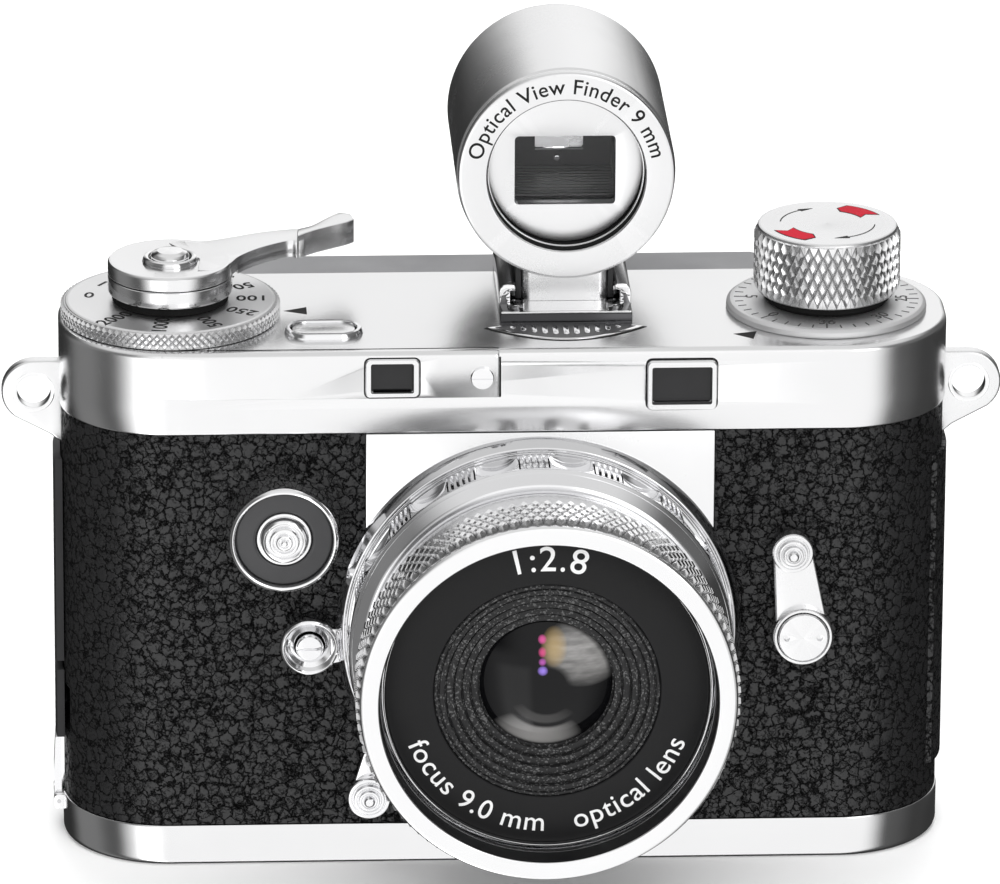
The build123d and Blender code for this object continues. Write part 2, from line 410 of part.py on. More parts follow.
# ------------------------------------------------------------------ clip-on finder
foot = box(SHOE_X - 4.2, SHOE_X + 4.2, -0.6, 8.7, 41.32, 42.08)
neck = box(SHOE_X - 2.95, SHOE_X + 2.95, -0.3, 8.4, 42.0, 46.5)
neck = soft(neck, [e for e in neck.edges() if abs(e.center().Y + 0.3) < 1e-3 and abs(abs(e.center().X - SHOE_X) - 2.95) < 1e-3], 0.5)
foot = foot + neck - cy(FND_R - 0.3, -5, 20, FND_X, FND_Z) - cy(FND_R, -5, 0, FND_X, FND_Z)
P["finder_barrel"] = foot + rev_y([(7.1, 1.1), (7.1, 0.0), (7.95, 0.0), (FND_R, 0.2), (FND_R, 15.9), (7.5, FND_Y1), (7.1, FND_Y1), (7.1, 16.0)], FND_X, FND_Z)
P["finder_face_ring"] = rev_y([(5.87, FND_Y0 + 0.05), (5.95, FND_Y0), (7.85, FND_Y0), (7.97, FND_Y0 + 0.15), (8.0, -0.03), (7.05, -0.03), (7.05, 1.55), (5.6, 1.55), (5.6, 0.55),
                               (5.87, 0.5)], FND_X, FND_Z)
P["finder_mask"] = rev_y([(0, 1.6), (7.05, 1.6), (7.05, 2.4), (0, 2.4)], FND_X, FND_Z) - rrect_y(7.47, 5.3, 0.35, 1, 3, FND_X, FND_Z)
tun = rrect_y(9.6, 7.4, 0.6, 3.35, 14.3, FND_X, FND_Z) - rrect_y(8.2, 6.0, 0.4, 3.0, 6.0, FND_X, FND_Z) \
    - rrect_y(6.8, 4.9, 0.4, 5.9, 9.5, FND_X, FND_Z) - rrect_y(5.2, 3.8, 0.3, 9.4, 15.0, FND_X, FND_Z)
P["finder_baffle"] = tun
P["finder_eyecup"] = rev_y([(2.9, 14.35), (7.05, 14.35), (7.05, 16.3), (6.6, FND_Y1 + 0.2), (4.2, FND_Y1 + 0.2), (2.9, 15.6)], FND_X, FND_Z)
P["finder_lenses"] = Compound([rrect_y(8.6, 6.4, 0.5, 2.45, 3.3, FND_X, FND_Z), lens_solid(2.85, 14.5, 15.3, 0.0, 0.25, FND_X, FND_Z)])

# ------------------------------------------------------------------ left side doors and latch
ccx, ccy = -(W / 2 - RC), D / 2 - RC            # centre of the back left corner
HR = RC + 0.52                                   # hinge line radius about that corner
ha = math.atan2(4.5, -6.6)
HX, HY = ccx + HR * math.cos(ha), ccy + HR * math.sin(ha)


def side_door(z0, z1):
    d = (Pos(0, 0, z0) * extrude(plan(-0.5), z1 - z0)) - extrude(plan(0.05), 60)
    d = d & box(-36, -29, -2.6, HY - 0.2, 0, 60)
    cutter = cz(0.62, z0 - 1, z1 + 1, HX, HY)
    d = d - cutter
    bridge = box(-34, -30, HY - 1.2, HY - 0.32, z0, z1) & ((Pos(0, 0, z0) * extrude(plan(-0.5), z1 - z0)) - extrude(plan(0.05), 60))
    knuckle = cz(0.45, z0, z1, HX, HY)
    d = d + bridge + knuckle
    return d - cz(0.22, z0 - 1, z1 + 1, HX, HY)


P["card_door"] = side_door(14.0, 30.0)
P["usb_cover"] = side_door(7.9, 13.3)
# hinge pin shared by both doors, held by three clips on the casing
pin = cz(0.17, 7.2, 30.7, HX, HY)
clip = None
for z0, z1 in ((7.1, 7.7), (13.4, 13.9), (30.1, 30.8)):
    c = cz(0.5, z0, z1, HX, HY)
    vx, vy = math.cos(ha), math.sin(ha)
    c = c + Pos(HX - vx * 0.6, HY - vy * 0.6, (z0 + z1) / 2) * Rot(0, 0, math.degrees(ha)) * Box(1.6, 0.6, z1 - z0)
    clip = c if clip is None else clip + c
pins.append(pin + clip - extrude(plan(0.15), 60))

latch = xz_poly([(-32.98, 7.5), (-33.42, 7.3), (-33.55, 4.6), (-33.52, 2.6), (-33.4, 2.35), (-33.0, 2.35), (-32.98, 2.6)], -1.2, 1.2) + cy(0.36, -1.2, 1.2, LT_X, LT_Z)
latch = latch - cy(0.2, -2, 2, LT_X, LT_Z)
P["base_latch"] = latch
pins.append(cy(0.16, -1.75, 1.75, LT_X, LT_Z))
P["hinge_pins"] = Compound(pins)

# ------------------------------------------------------------------ export
if __name__ == "__main__":
    for f in os.listdir("parts"):
        if f.endswith(".step"):
            os.remove(os.path.join("parts", f))
    for name, shape in P.items():
        sol = shape.solids()
        out = sol[0] if len(sol) == 1 else Compound(list(sol))
        export_step(out, f"parts/{name}.step")
    print(len(P), "nodes")
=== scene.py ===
import bpy, bmesh, math
from math import sin, cos, pi, radians, degrees, hypot, atan2, sqrt
from mathutils import Vector, Matrix


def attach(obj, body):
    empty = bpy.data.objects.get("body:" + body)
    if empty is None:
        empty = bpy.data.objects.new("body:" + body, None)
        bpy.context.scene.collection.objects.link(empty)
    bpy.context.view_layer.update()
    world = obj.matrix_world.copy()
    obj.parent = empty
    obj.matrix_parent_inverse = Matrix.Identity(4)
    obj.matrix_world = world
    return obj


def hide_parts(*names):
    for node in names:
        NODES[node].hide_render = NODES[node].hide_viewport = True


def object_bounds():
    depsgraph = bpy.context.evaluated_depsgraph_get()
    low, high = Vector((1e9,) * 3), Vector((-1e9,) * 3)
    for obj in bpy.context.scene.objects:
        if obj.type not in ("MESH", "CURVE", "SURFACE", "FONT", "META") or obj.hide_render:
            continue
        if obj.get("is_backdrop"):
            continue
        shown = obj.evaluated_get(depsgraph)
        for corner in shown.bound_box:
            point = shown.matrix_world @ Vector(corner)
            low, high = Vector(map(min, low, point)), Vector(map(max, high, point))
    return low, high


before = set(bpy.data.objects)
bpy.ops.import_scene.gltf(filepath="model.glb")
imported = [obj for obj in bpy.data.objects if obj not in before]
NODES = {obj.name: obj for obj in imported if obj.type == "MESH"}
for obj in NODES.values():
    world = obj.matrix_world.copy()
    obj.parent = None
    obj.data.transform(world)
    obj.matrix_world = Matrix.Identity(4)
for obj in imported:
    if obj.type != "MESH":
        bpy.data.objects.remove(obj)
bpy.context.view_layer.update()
MM = 0.001
SC = bpy.context.scene
COL = SC.collection

# ============================================================================= sizes (mm)
W, D, RC, H = 65.8, 18.2, 8.0, 40.5
Z_TOP, Z_BASE = 34.1, 3.25
LX, LZ = 2.35, 18.7
DIAL = (-24.6, -0.6)
KNOB = (24.05, -0.1)
SHOE_X = 4.6
FND = (4.65, 51.1)
SOCK = (-16.5, 26.65)
REL = (-14.6, 17.7)
LVP, LVK = (21.9, 18.3), (21.05, 24.9)
RWP, RWK = (-9.9, 8.72), (-10.2, 5.75)

# ============================================================================= mesh helpers


def make(name, V, F, mat, body, rep=(), sharp=30, smooth=True, recalc=True):
    me = bpy.data.meshes.new(name)
    me.from_pydata([(x * MM, y * MM, z * MM) for x, y, z in V], [], F)
    me.validate()
    if recalc:
        bm = bmesh.new()
        bm.from_mesh(me)
        bmesh.ops.recalc_face_normals(bm, faces=bm.faces)
        bm.to_mesh(me)
        bm.free()
    return wrap(name, me, mat, body, rep, sharp, smooth)


def wrap(name, me, mat, body, rep=(), sharp=30, smooth=True):
    me.polygons.foreach_set("use_smooth", [smooth] * len(me.polygons))
    if smooth:
        me.set_sharp_from_angle(angle=radians(sharp))
    ob = bpy.data.objects.new(name, me)
    COL.objects.link(ob)
    ob.data.materials.append(mat)
    if rep:
        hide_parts(*rep)
    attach(ob, body)
    return ob


def rnd(poly, f=0.0, k=3, closed=True):
    """Rounds the corners of a 2D outline. A point may carry its own radius as a third value."""
    n = len(poly)
    out = []
    for i, p in enumerate(poly):
        r = p[2] if len(p) > 2 else f
        a, b = poly[i - 1], poly[(i + 1) % n]
        if (not closed and i in (0, n - 1)) or r <= 0:
            out.append((p[0], p[1]))
            continue
        ua = Vector((a[0] - p[0], a[1] - p[1]))
        ub = Vector((b[0] - p[0], b[1] - p[1]))
        la, lb = ua.length, ub.length
        if la < 1e-6 or lb < 1e-6:
            out.append((p[0], p[1]))
            continue
        ua /= la
        ub /= lb
        c = max(-1, min(1, ua.dot(ub)))
        ang = math.acos(c)
        if ang > radians(172):
            out.append((p[0], p[1]))
            continue
        t = min(r / math.tan(ang / 2), 0.45 * la, 0.45 * lb)
        rr = t * math.tan(ang / 2)
        bis = (ua + ub)
        if bis.length < 1e-9:
            out.append((p[0], p[1]))
            continue
        bis.normalize()
        ctr = Vector((p[0], p[1])) + bis * (rr / math.sin(ang / 2))
        s = Vector((p[0], p[1])) + ua * t
        e = Vector((p[0], p[1])) + ub * t
        a0 = atan2(s.y - ctr.y, s.x - ctr.x)
        a1 = atan2(e.y - ctr.y, e.x - ctr.x)
        d = (a1 - a0 + pi) % (2 * pi) - pi
        for j in range(k + 1):
            q = a0 + d * j / k
            out.append((ctr.x + rr * cos(q), ctr.y + rr * sin(q)))
    return out


def axis_pt(axis, c, r, a, h):
    if axis == "y":
        return (c[0] + r * sin(a), h, c[1] + r * cos(a))
    if axis == "z":
        return (c[0] + r * cos(a), c[1] + r * sin(a), h)
    return (h, c[0] + r * cos(a), c[1] + r * sin(a))


def lathe_vf(prof, axis, c, n=160, fillet=0.08, k=3):
    """Closed (radius, height) outline turned about an axis."""
    p = rnd(prof, fillet, k)
    V, F, idx = [], [], []
    for r, h in p:
        if r < 1e-6:
            idx.append([len(V)] * n)
            V.append(axis_pt(axis, c, 0, 0, h))
        else:
            idx.append(list(range(len(V), len(V) + n)))
            V += [axis_pt(axis, c, r, 2 * pi * j / n, h) for j in range(n)]
    m = len(p)
    for i in range(m):
        A, B = idx[i], idx[(i + 1) % m]
        if A[0] == A[1] and B[0] == B[1]:
            continue
        for j in range(n):
            q = [A[j], A[(j + 1) % n], B[(j + 1) % n], B[j]]
            u = []
            for x in q:
                if x not in u:
                    u.append(x)
            if len(u) > 2:
                F.append(u)
    return V, F


def lathe(name, prof, axis, c, mat, body, rep=(), n=160, fillet=0.08, k=3, sharp=32):
    V, F = lathe_vf(prof, axis, c, n, fillet, k)
    return make(name, V, F, mat, body, rep, sharp)


def join_vf(parts):
    V, F = [], []
    for v, f in parts:
        o = len(V)
        V += list(v)
        F += [[i + o for i in q] for q in f]
    return V, F


def slab_vf(outline, lo, hi, axis="z", bevel=0.12, seg=3, lim=28):
    """Outline extruded along an axis, with its sharp edges rounded."""
    bm = bmesh.new()

    def P(a, b, h):
        return {"z": (a, b, h), "y": (a, h, b), "x": (h, a, b)}[axis]
    vs = [bm.verts.new(P(a, b, lo)) for a, b in outline]
    f = bm.faces.new(vs)
    r = bmesh.ops.extrude_face_region(bm, geom=[f])
    d = {"z": (0, 0, hi - lo), "y": (0, hi - lo, 0), "x": (hi - lo, 0, 0)}[axis]
    bmesh.ops.translate(bm, verts=[e for e in r["geom"] if isinstance(e, bmesh.types.BMVert)], vec=d)
    bmesh.ops.recalc_face_normals(bm, faces=bm.faces)
    if bevel > 0:
        es = [e for e in bm.edges if len(e.link_faces) == 2 and e.calc_face_angle(0) > radians(lim)]
        bmesh.ops.bevel(bm, geom=es, offset=bevel, offset_type="OFFSET", segments=seg, profile=0.5, affect="EDGES", clamp_overlap=True)
    V = [tuple(v.co) for v in bm.verts]
    bm.verts.index_update()
    F = [[v.index for v in q.verts] for q in bm.faces]
    bm.free()
    return V, F


def slab(name, outline, lo, hi, axis, mat, body, rep=(), bevel=0.12, seg=3, sharp=30):
    V, F = slab_vf(outline, lo, hi, axis, bevel, seg)
    return make(name, V, F, mat, body, rep, sharp)


def rrect(w, h, r, cx=0, cy=0, n=8):
    out = []
    for sx, sy, a0 in ((1, 1, 0), (-1, 1, 90), (-1, -1, 180), (1, -1, 270)):
        for i in range(n + 1):
            a = radians(a0 + 90 * i / n)
            out.append((cx + sx * (w / 2 - r) + r * cos(a), cy + sy * (h / 2 - r) + r * sin(a)))
    return out


def stadium(l, w, cx, cy, n=16):
    return rrect(l, w, w / 2 - 1e-4, cx, cy, n)


def hull2(p, rp, q, rq, n=20):
    d = hypot(q[0] - p[0], q[1] - p[1])
    a = atan2(q[1] - p[1], q[0] - p[0])
    b = math.acos((rp - rq) / d)
    out = []
    for i in range(n + 1):
        t = a + b + (2 * pi - 2 * b) * i / n
        out.append((p[0] + rp * cos(t), p[1] + rp * sin(t)))
    for i in range(n + 1):
        t = a - b + 2 * b * i / n
        out.append((q[0] + rq * cos(t), q[1] + rq * sin(t)))
    return out


def apply_mods(ob):
    dg = bpy.context.evaluated_depsgraph_get()
    dg.update()
    me = bpy.data.meshes.new_from_object(ob.evaluated_get(dg))
    old = ob.data
    ob.modifiers.clear()
    ob.data = me
    bpy.data.meshes.remove(old)


def cutter(V, F):
    me = bpy.data.meshes.new("cutter")
    me.from_pydata([(x * MM, y * MM, z * MM) for x, y, z in V], [], F)
    bm = bmesh.new()
    bm.from_mesh(me)
    bmesh.ops.recalc_face_normals(bm, faces=bm.faces)
    bm.to_mesh(me)
    bm.free()
    ob = bpy.data.objects.new("cutter", me)
    COL.objects.link(ob)
    return ob


def boolean(ob, tools, op="DIFFERENCE", bevel=0.0, sharp=30):
    for t in tools:
        m = ob.modifiers.new("b", "BOOLEAN")
        m.operation, m.solver, m.object = op, "EXACT", t
    if bevel:
        m = ob.modifiers.new("v", "BEVEL")
        m.width, m.segments, m.limit_method, m.angle_limit = bevel * MM, 2, "ANGLE", radians(35)
        m.use_clamp_overlap = True
    bpy.context.view_layer.update()
    apply_mods(ob)
    for t in tools:
        me = t.data
        bpy.data.objects.remove(t)
        bpy.data.meshes.remove(me)
    me = ob.data
    me.polygons.foreach_set("use_smooth", [True] * len(me.polygons))
    me.set_sharp_from_angle(angle=radians(sharp))
    return ob


def knurl_vf(axis, c, h0, h1, r_low, r_high, n, rows, top=0.32, r_in=None, chamfer=0.0):
    """Ring with diamond knurling: truncated four-sided teeth between two crossed sets of helical grooves."""
    V, F = [], []
    M = rows * 2
    N = 2 * n
    hs = [h0 + (h1 - h0) * j / M for j in range(M + 1)]

    def is_peak(i, j):
        return (i + j) % 2 == 1 and 0 < j < M
    idx = {}
    for j in range(M + 1):
        for i in range(N):
            if not is_peak(i, j):
                idx[(i, j)] = len(V)
                V.append(axis_pt(axis, c, r_low, 2 * pi * i / N, hs[j]))
    dh = (h1 - h0) / M
    for j in range(1, M):
        for i in range(N):
            if is_peak(i, j):
                t = top
                sq = []
                for di, dj in ((-1, 0), (0, -1), (1, 0), (0, 1)):
                    sq.append(len(V))
                    V.append(axis_pt(axis, c, r_high, 2 * pi * (i + di * t) / N, hs[j] + dj * t * dh))
                lows = [idx[((i - 1) % N, j)], idx[(i, j - 1)], idx[((i + 1) % N, j)], idx[(i, j + 1)]]
                for a in range(4):
                    b = (a + 1) % 4
                    F.append([lows[a], lows[b], sq[b], sq[a]])
                F.append(sq)
    # flat half cells along the two ends
    for j, dj in ((0, 1), (M, -1)):
        for i in range(N):
            if (i + j) % 2 == 1:
                F.append([idx[((i - 1) % N, j)], idx[(i, j)], idx[((i + 1) % N, j)], idx[(i, j + dj)]])
    # close over the inside
    if r_in is None:
        r_in = r_low - 0.6
    A = [idx[(i, 0)] for i in range(N)]
    B = [idx[(i, M)] for i in range(N)]
    Ai = list(range(len(V), len(V) + N))
    V += [axis_pt(axis, c, r_in, 2 * pi * i / N, h0) for i in range(N)]
    Bi = list(range(len(V), len(V) + N))
    V += [axis_pt(axis, c, r_in, 2 * pi * i / N, h1) for i in range(N)]
    for i in range(N):
        k = (i + 1) % N
        F.append([A[i], A[k], Ai[k], Ai[i]])
        F.append([B[i], B[k], Bi[k], Bi[i]])
        F.append([Ai[i], Ai[k], Bi[k], Bi[i]])
    return V, F


def text_vf(s, size, depth=0.02, bold=0.0, align="CENTER", space=1.0):
    cu = bpy.data.curves.new("t", "FONT")
    cu.body = s
    cu.size = size
    cu.align_x = align
    cu.align_y = "CENTER"
    cu.extrude = depth
    cu.offset = bold
    cu.space_character = space
    cu.resolution_u = 6
    ob = bpy.data.objects.new("t", cu)
    COL.objects.link(ob)
    bpy.context.view_layer.update()
    dg = bpy.context.evaluated_depsgraph_get()
    me = bpy.data.meshes.new_from_object(ob.evaluated_get(dg))
    bm = bmesh.new()
    bm.from_mesh(me)
    bmesh.ops.remove_doubles(bm, verts=bm.verts, dist=1e-4)
    bmesh.ops.recalc_face_normals(bm, faces=bm.faces)
    bm.to_mesh(me)
    bm.free()
    V = [tuple(v.co) for v in me.vertices]
    F = [list(p.vertices) for p in me.polygons]
    bpy.data.objects.remove(ob)
    bpy.data.curves.remove(cu)
    bpy.data.meshes.remove(me)
    return V, F


# ============================================================================= materials


class Nt:
    """Small wrapper that builds a node tree line by line."""

    def __init__(s, name):
        s.m = bpy.data.materials.new(name)
        s.m.use_nodes = True
        s.t = s.m.node_tree
        s.t.nodes.clear()
        s.out = s.n("ShaderNodeOutputMaterial")
        s.b = s.n("ShaderNodeBsdfPrincipled")
        s.l(s.b.outputs[0], s.out.inputs[0])
        s.tc = s.n("ShaderNodeTexCoord")
        s.co = s.tc.outputs["Object"]

    def n(s, kind, **k):
        x = s.t.nodes.new(kind)
        for a, v in k.items():
            setattr(x, a, v)
        return x

    def l(s, a, b):
        s.t.links.new(a, b)

    def put(s, sock, v):
        if isinstance(v, (int, float)):
            sock.default_value = v
        elif isinstance(v, (tuple, list)):
            sock.default_value = v
        else:
            s.l(v, sock)

    def math(s, op, a, b=None, c=None, clamp=False):
        x = s.n("ShaderNodeMath", operation=op, use_clamp=clamp)
        s.put(x.inputs[0], a)
        if b is not None:
            s.put(x.inputs[1], b)
        if c is not None:
            s.put(x.inputs[2], c)
        return x.outputs[0]

    def scale(s, v, xyz):
        x = s.n("ShaderNodeMapping")
        s.l(v, x.inputs["Vector"])
        x.inputs["Scale"].default_value = xyz
        return x.outputs[0]

    def noise(s, co, scale, detail=3, rough=0.55, dist=0.0):
        x = s.n("ShaderNodeTexNoise")
        s.l(co, x.inputs["Vector"])
        x.inputs["Scale"].default_value = scale
        x.inputs["Detail"].default_value = detail
        x.inputs["Roughness"].default_value = rough
        x.inputs["Distortion"].default_value = dist
        return x.outputs[0]

    def vor(s, co, scale, feature="F1", rand=1.0, out="Distance"):
        x = s.n("ShaderNodeTexVoronoi", feature=feature)
        s.l(co, x.inputs["Vector"])
        x.inputs["Scale"].default_value = scale
        x.inputs["Randomness"].default_value = rand
        return x.outputs[out]

    def ramp(s, fac, stops):
        x = s.n("ShaderNodeValToRGB")
        s.l(fac, x.inputs[0])
        e = x.color_ramp.elements
        while len(e) < len(stops):
            e.new(0.5)
        for el, (p, c) in zip(e, stops):
            el.position = p
            el.color = (c, c, c, 1) if isinstance(c, (int, float)) else (*c, 1)
        return x.outputs[0]

    def remap(s, v, a, b, c, d):
        x = s.n("ShaderNodeMapRange")
        s.l(v, x.inputs[0])
        for i, q in enumerate((a, b, c, d)):
            x.inputs[i + 1].default_value = q
        return x.outputs[0]

    def mix(s, fac, a, b):
        x = s.n("ShaderNodeMix", data_type="RGBA")
        s.put(x.inputs[0], fac)
        for i, q in ((6, a), (7, b)):
            if isinstance(q, tuple):
                x.inputs[i].default_value = (*q, 1)
            else:
                s.l(q, x.inputs[i])
        return x.outputs[2]

    def bump(s, h, strength, dist, normal=None):
        x = s.n("ShaderNodeBump")
        x.inputs["Strength"].default_value = strength
        x.inputs["Distance"].default_value = dist
        s.l(h, x.inputs["Height"])
        if normal is not None:
            s.l(normal, x.inputs["Normal"])
        return x.outputs[0]

    def set(s, **k):
        names = {"color": "Base Color", "metal": "Metallic", "rough": "Roughness", "normal": "Normal", "ior": "IOR", "spec": "Specular IOR Level",
                 "trans": "Transmission Weight", "coat": "Coat Weight", "coat_rough": "Coat Roughness", "coat_ior": "Coat IOR", "coat_tint": "Coat Tint",
                 "aniso": "Anisotropic", "tangent": "Tangent", "emit": "Emission Color", "emit_s": "Emission Strength", "alpha": "Alpha",
                 "film": "Thin Film Thickness", "film_ior": "Thin Film IOR", "sheen": "Sheen Weight", "aniso_rot": "Anisotropic Rotation"}
        for a, v in k.items():
            sock = s.b.inputs[names[a]]
            if a in ("color", "coat_tint", "emit") and isinstance(v, tuple):
                v = (*v, 1)
            s.put(sock, v)
        return s


def metal(name, col, rough, var=0.03, grain=0.25, grain_scale=9000, brush=None, aniso=0.0, radial=None, scratch=0.35, dust=0.0, edge=0.25):
    """Metal with fine grain, faint handling marks, hairline scratches and slightly polished edges."""
    q = Nt(name)
    co = q.co
    big = q.noise(co, 160, 4, 0.6)
    fine = q.noise(co, grain_scale, 2, 0.6)
    g = q.scale(co, brush) if brush else co
    hair = q.noise(g, 2600 if brush else grain_scale * 0.5, 3, 0.7)
    # hairline scratches: thin bands of a strongly stretched, twisted noise
    sx = q.noise(q.scale(co, (900, 900, 60)), 1.0, 3, 0.6, 1.5)
    sc = q.math("ABSOLUTE", q.math("SUBTRACT", sx, 0.5))
    line = q.math("SUBTRACT", 1.0, q.math("MULTIPLY", sc, 260, clamp=True))
    mask = q.ramp(q.noise(co, 340, 2), [(0.56, 0.0), (0.68, 1.0)])
    line = q.math("MULTIPLY", line, mask)
    geo = q.n("ShaderNodeNewGeometry")
    worn = q.remap(geo.outputs["Pointiness"], 0.51, 0.60, 0.0, 1.0)
    c0 = tuple(max(0, x * (1 - var)) for x in col)
    c1 = tuple(min(1, x * (1 + var)) for x in col)
    base = q.mix(big, c0, c1)
    base = q.mix(q.math("MULTIPLY", worn, edge), base, tuple(min(1, x * 1.12) for x in col))
    r = q.math("ADD", q.remap(big, 0.3, 0.7, rough * 0.86, rough * 1.14), q.math("MULTIPLY", q.math("SUBTRACT", fine, 0.5), 0.10 * grain))
    r = q.math("ADD", r, q.math("MULTIPLY", line, 0.12 * scratch))
    r = q.math("SUBTRACT", r, q.math("MULTIPLY", worn, 0.06 * edge), clamp=True)
    h = q.math("ADD", q.math("MULTIPLY", hair, grain), q.math("MULTIPLY", line, -0.6 * scratch))
    nrm = q.bump(h, 0.30 if not brush else 0.4, 0.000012)
    q.set(color=base, metal=1.0, rough=r, normal=nrm)
    if aniso:
        q.set(aniso=aniso)
        tg = q.n("ShaderNodeTangent", direction_type="RADIAL", axis=radial or "Z")
        q.l(tg.outputs[0], q.b.inputs["Tangent"])
    return q.m


def turned_metal(name, col, rough, axis, centre, pitch=9000, strength=0.35, aniso=0.55):
    """Lathe-faced metal: fine concentric tool lines about an axis."""
    q = Nt(name)
    sep = q.n("ShaderNodeSeparateXYZ")
    q.l(q.co, sep.inputs[0])
    a, b = {"z": (0, 1), "y": (0, 2), "x": (1, 2)}[axis]
    da = q.math("SUBTRACT", sep.outputs[a], centre[0] * MM)
    db = q.math("SUBTRACT", sep.outputs[b], centre[1] * MM)
    r = q.math("SQRT", q.math("ADD", q.math("MULTIPLY", da, da), q.math("MULTIPLY", db, db)))
    cx = q.n("ShaderNodeCombineXYZ")
    q.l(r, cx.inputs[0])
    q.l(q.math("MULTIPLY", sep.outputs[{"z": 2, "y": 1, "x": 0}[axis]], 1.0), cx.inputs[1])
    lines = q.noise(cx.outputs[0], pitch, 3, 0.7)
    big = q.noise(q.co, 220, 3, 0.6)
    fine = q.noise(q.co, 12000, 1, 0.5)
    base = q.mix(big, tuple(x * 0.97 for x in col), tuple(min(1, x * 1.03) for x in col))
    rr = q.math("ADD", q.remap(big, 0.3, 0.7, rough * 0.9, rough * 1.1), q.math("MULTIPLY", q.math("SUBTRACT", lines, 0.5), 0.12))
    h = q.math("ADD", lines, q.math("MULTIPLY", fine, 0.3))
    q.set(color=base, metal=1.0, rough=rr, normal=q.bump(h, strength, 0.00001), aniso=aniso)
    tg = q.n("ShaderNodeTangent", direction_type="RADIAL", axis=axis.upper())
    q.l(tg.outputs[0], q.b.inputs["Tangent"])
    return q.m


def knurled_metal(name, axis, centre, r0, r1, low=0.5, col=(0.90, 0.90, 0.905), rough=0.17):
    """Chromed knurling: bright crowns, colour darkened in the grooves below them as painted shade."""
    q = Nt(name)
    sep = q.n("ShaderNodeSeparateXYZ")
    q.l(q.co, sep.inputs[0])
    a, b = {"z": (0, 1), "y": (0, 2)}[axis]
    da = q.math("SUBTRACT", sep.outputs[a], centre[0] * MM)
    db = q.math("SUBTRACT", sep.outputs[b], centre[1] * MM)
    r = q.math("SQRT", q.math("ADD", q.math("MULTIPLY", da, da), q.math("MULTIPLY", db, db)))
    k = q.remap(r, r0 * MM, r1 * MM, 0.0, 1.0)
    k = q.math("ADD", k, q.math("MULTIPLY", q.math("SUBTRACT", q.noise(q.co, 2600, 3), 0.5), 0.35), clamp=True)
    fine = q.noise(q.co, 9000, 2)
    # grooves get a darker colour than the crowns: painted shade
    base = q.mix(k, tuple(x * low for x in col), col)
    rr = q.math("ADD", q.remap(k, 0.0, 1.0, rough + 0.25, rough), q.math("MULTIPLY", q.math("SUBTRACT", fine, 0.5), 0.06))
    q.set(color=base, metal=1.0, rough=rr, normal=q.bump(fine, 0.2, 0.00001))
    return q.m


def leather():
    """Black moulded leather-grain covering: flat-topped irregular pebbles with meandering creases, darkened in colour
    and specular as painted shade.
    """
    q = Nt("leatherette")
    warp = q.n("ShaderNodeTexNoise")
    q.l(q.co, warp.inputs["Vector"])
    warp.inputs["Scale"].default_value = 1900
    warp.inputs["Detail"].default_value = 4
    warp.inputs["Roughness"].default_value = 0.65
    vm = q.n("ShaderNodeVectorMath", operation="MULTIPLY_ADD")
    q.l(warp.outputs["Color"], vm.inputs[0])
    vm.inputs[1].default_value = (0.0011, 0.0011, 0.0011)
    q.l(q.co, vm.inputs[2])
    w = vm.outputs[0]
    e1 = q.vor(w, 1150, "DISTANCE_TO_EDGE")
    e2 = q.vor(w, 2300, "DISTANCE_TO_EDGE")
    pick = q.ramp(q.noise(q.co, 1100, 2), [(0.46, 0.0), (0.56, 1.0)])
    c1 = q.remap(e1, 0.0, 0.10, 0.0, 1.0)
    c2 = q.math("MAXIMUM", q.remap(e2, 0.0, 0.09, 0.30, 1.0), pick)
    crease_and_shade = q.math("MULTIPLY", c1, c2)
    fine = q.noise(q.co, 8000, 4, 0.65)
    dome = q.remap(e1, 0.0, 0.6, 0.0, 1.0)
    h = q.math("ADD", q.math("MULTIPLY", crease_and_shade, 0.55), q.math("ADD", q.math("MULTIPLY", fine, 0.22), q.math("MULTIPLY", dome, 0.25)))
    big = q.noise(q.co, 130, 3)
    grainy = q.noise(q.scale(q.co, (2500, 2500, 9000)), 1.0, 2, 0.6)
    top = q.mix(big, (0.0045, 0.0045, 0.005), (0.009, 0.009, 0.0095))
    top = q.mix(q.remap(fine, 0.35, 0.75, 0.0, 1.0), top, (0.017, 0.017, 0.018))
    # creases near-black in colour and lower in specular: painted shade
    base = q.mix(crease_and_shade, (0.0006, 0.0006, 0.0006), top)
    rough = q.math("ADD", q.remap(crease_and_shade, 0.0, 1.0, 0.95, 0.40), q.math("MULTIPLY", q.math("SUBTRACT", grainy, 0.5), 0.30), clamp=True)
    q.set(color=base, rough=rough, normal=q.bump(h, 0.85, 0.00012), spec=0.5)
    q.l(q.math("MULTIPLY", crease_and_shade, 0.55), q.b.inputs["Specular IOR Level"])
    return q.m


def plastic(name, col, rough=0.45, bump=0.25, scale=5000, spec=0.5, speck=0.0):
    q = Nt(name)
    n1 = q.noise(q.co, scale, 3, 0.6)
    n2 = q.noise(q.co, 200, 3, 0.6)
    base = q.mix(n2, tuple(x * 0.8 for x in col), tuple(min(1, x * 1.2 + 0.002) for x in col))
    r = q.math("ADD", q.remap(n2, 0.3, 0.7, rough * 0.85, rough * 1.15), q.math("MULTIPLY", q.math("SUBTRACT", n1, 0.5), 0.12))
    if speck:
        sp = q.vor(q.co, 9500, "F1", 1.0, "Color")
        s3 = q.n("ShaderNodeSeparateColor")
        q.l(sp, s3.inputs[0])
        lit = q.ramp(s3.outputs[0], [(0.80, 0.0), (0.86, 1.0)])
        base = q.mix(q.math("MULTIPLY", lit, speck), base, (0.42, 0.42, 0.42))
    q.set(color=base, rough=r, normal=q.bump(n1, bump, 0.00003), spec=spec)
    return q.m


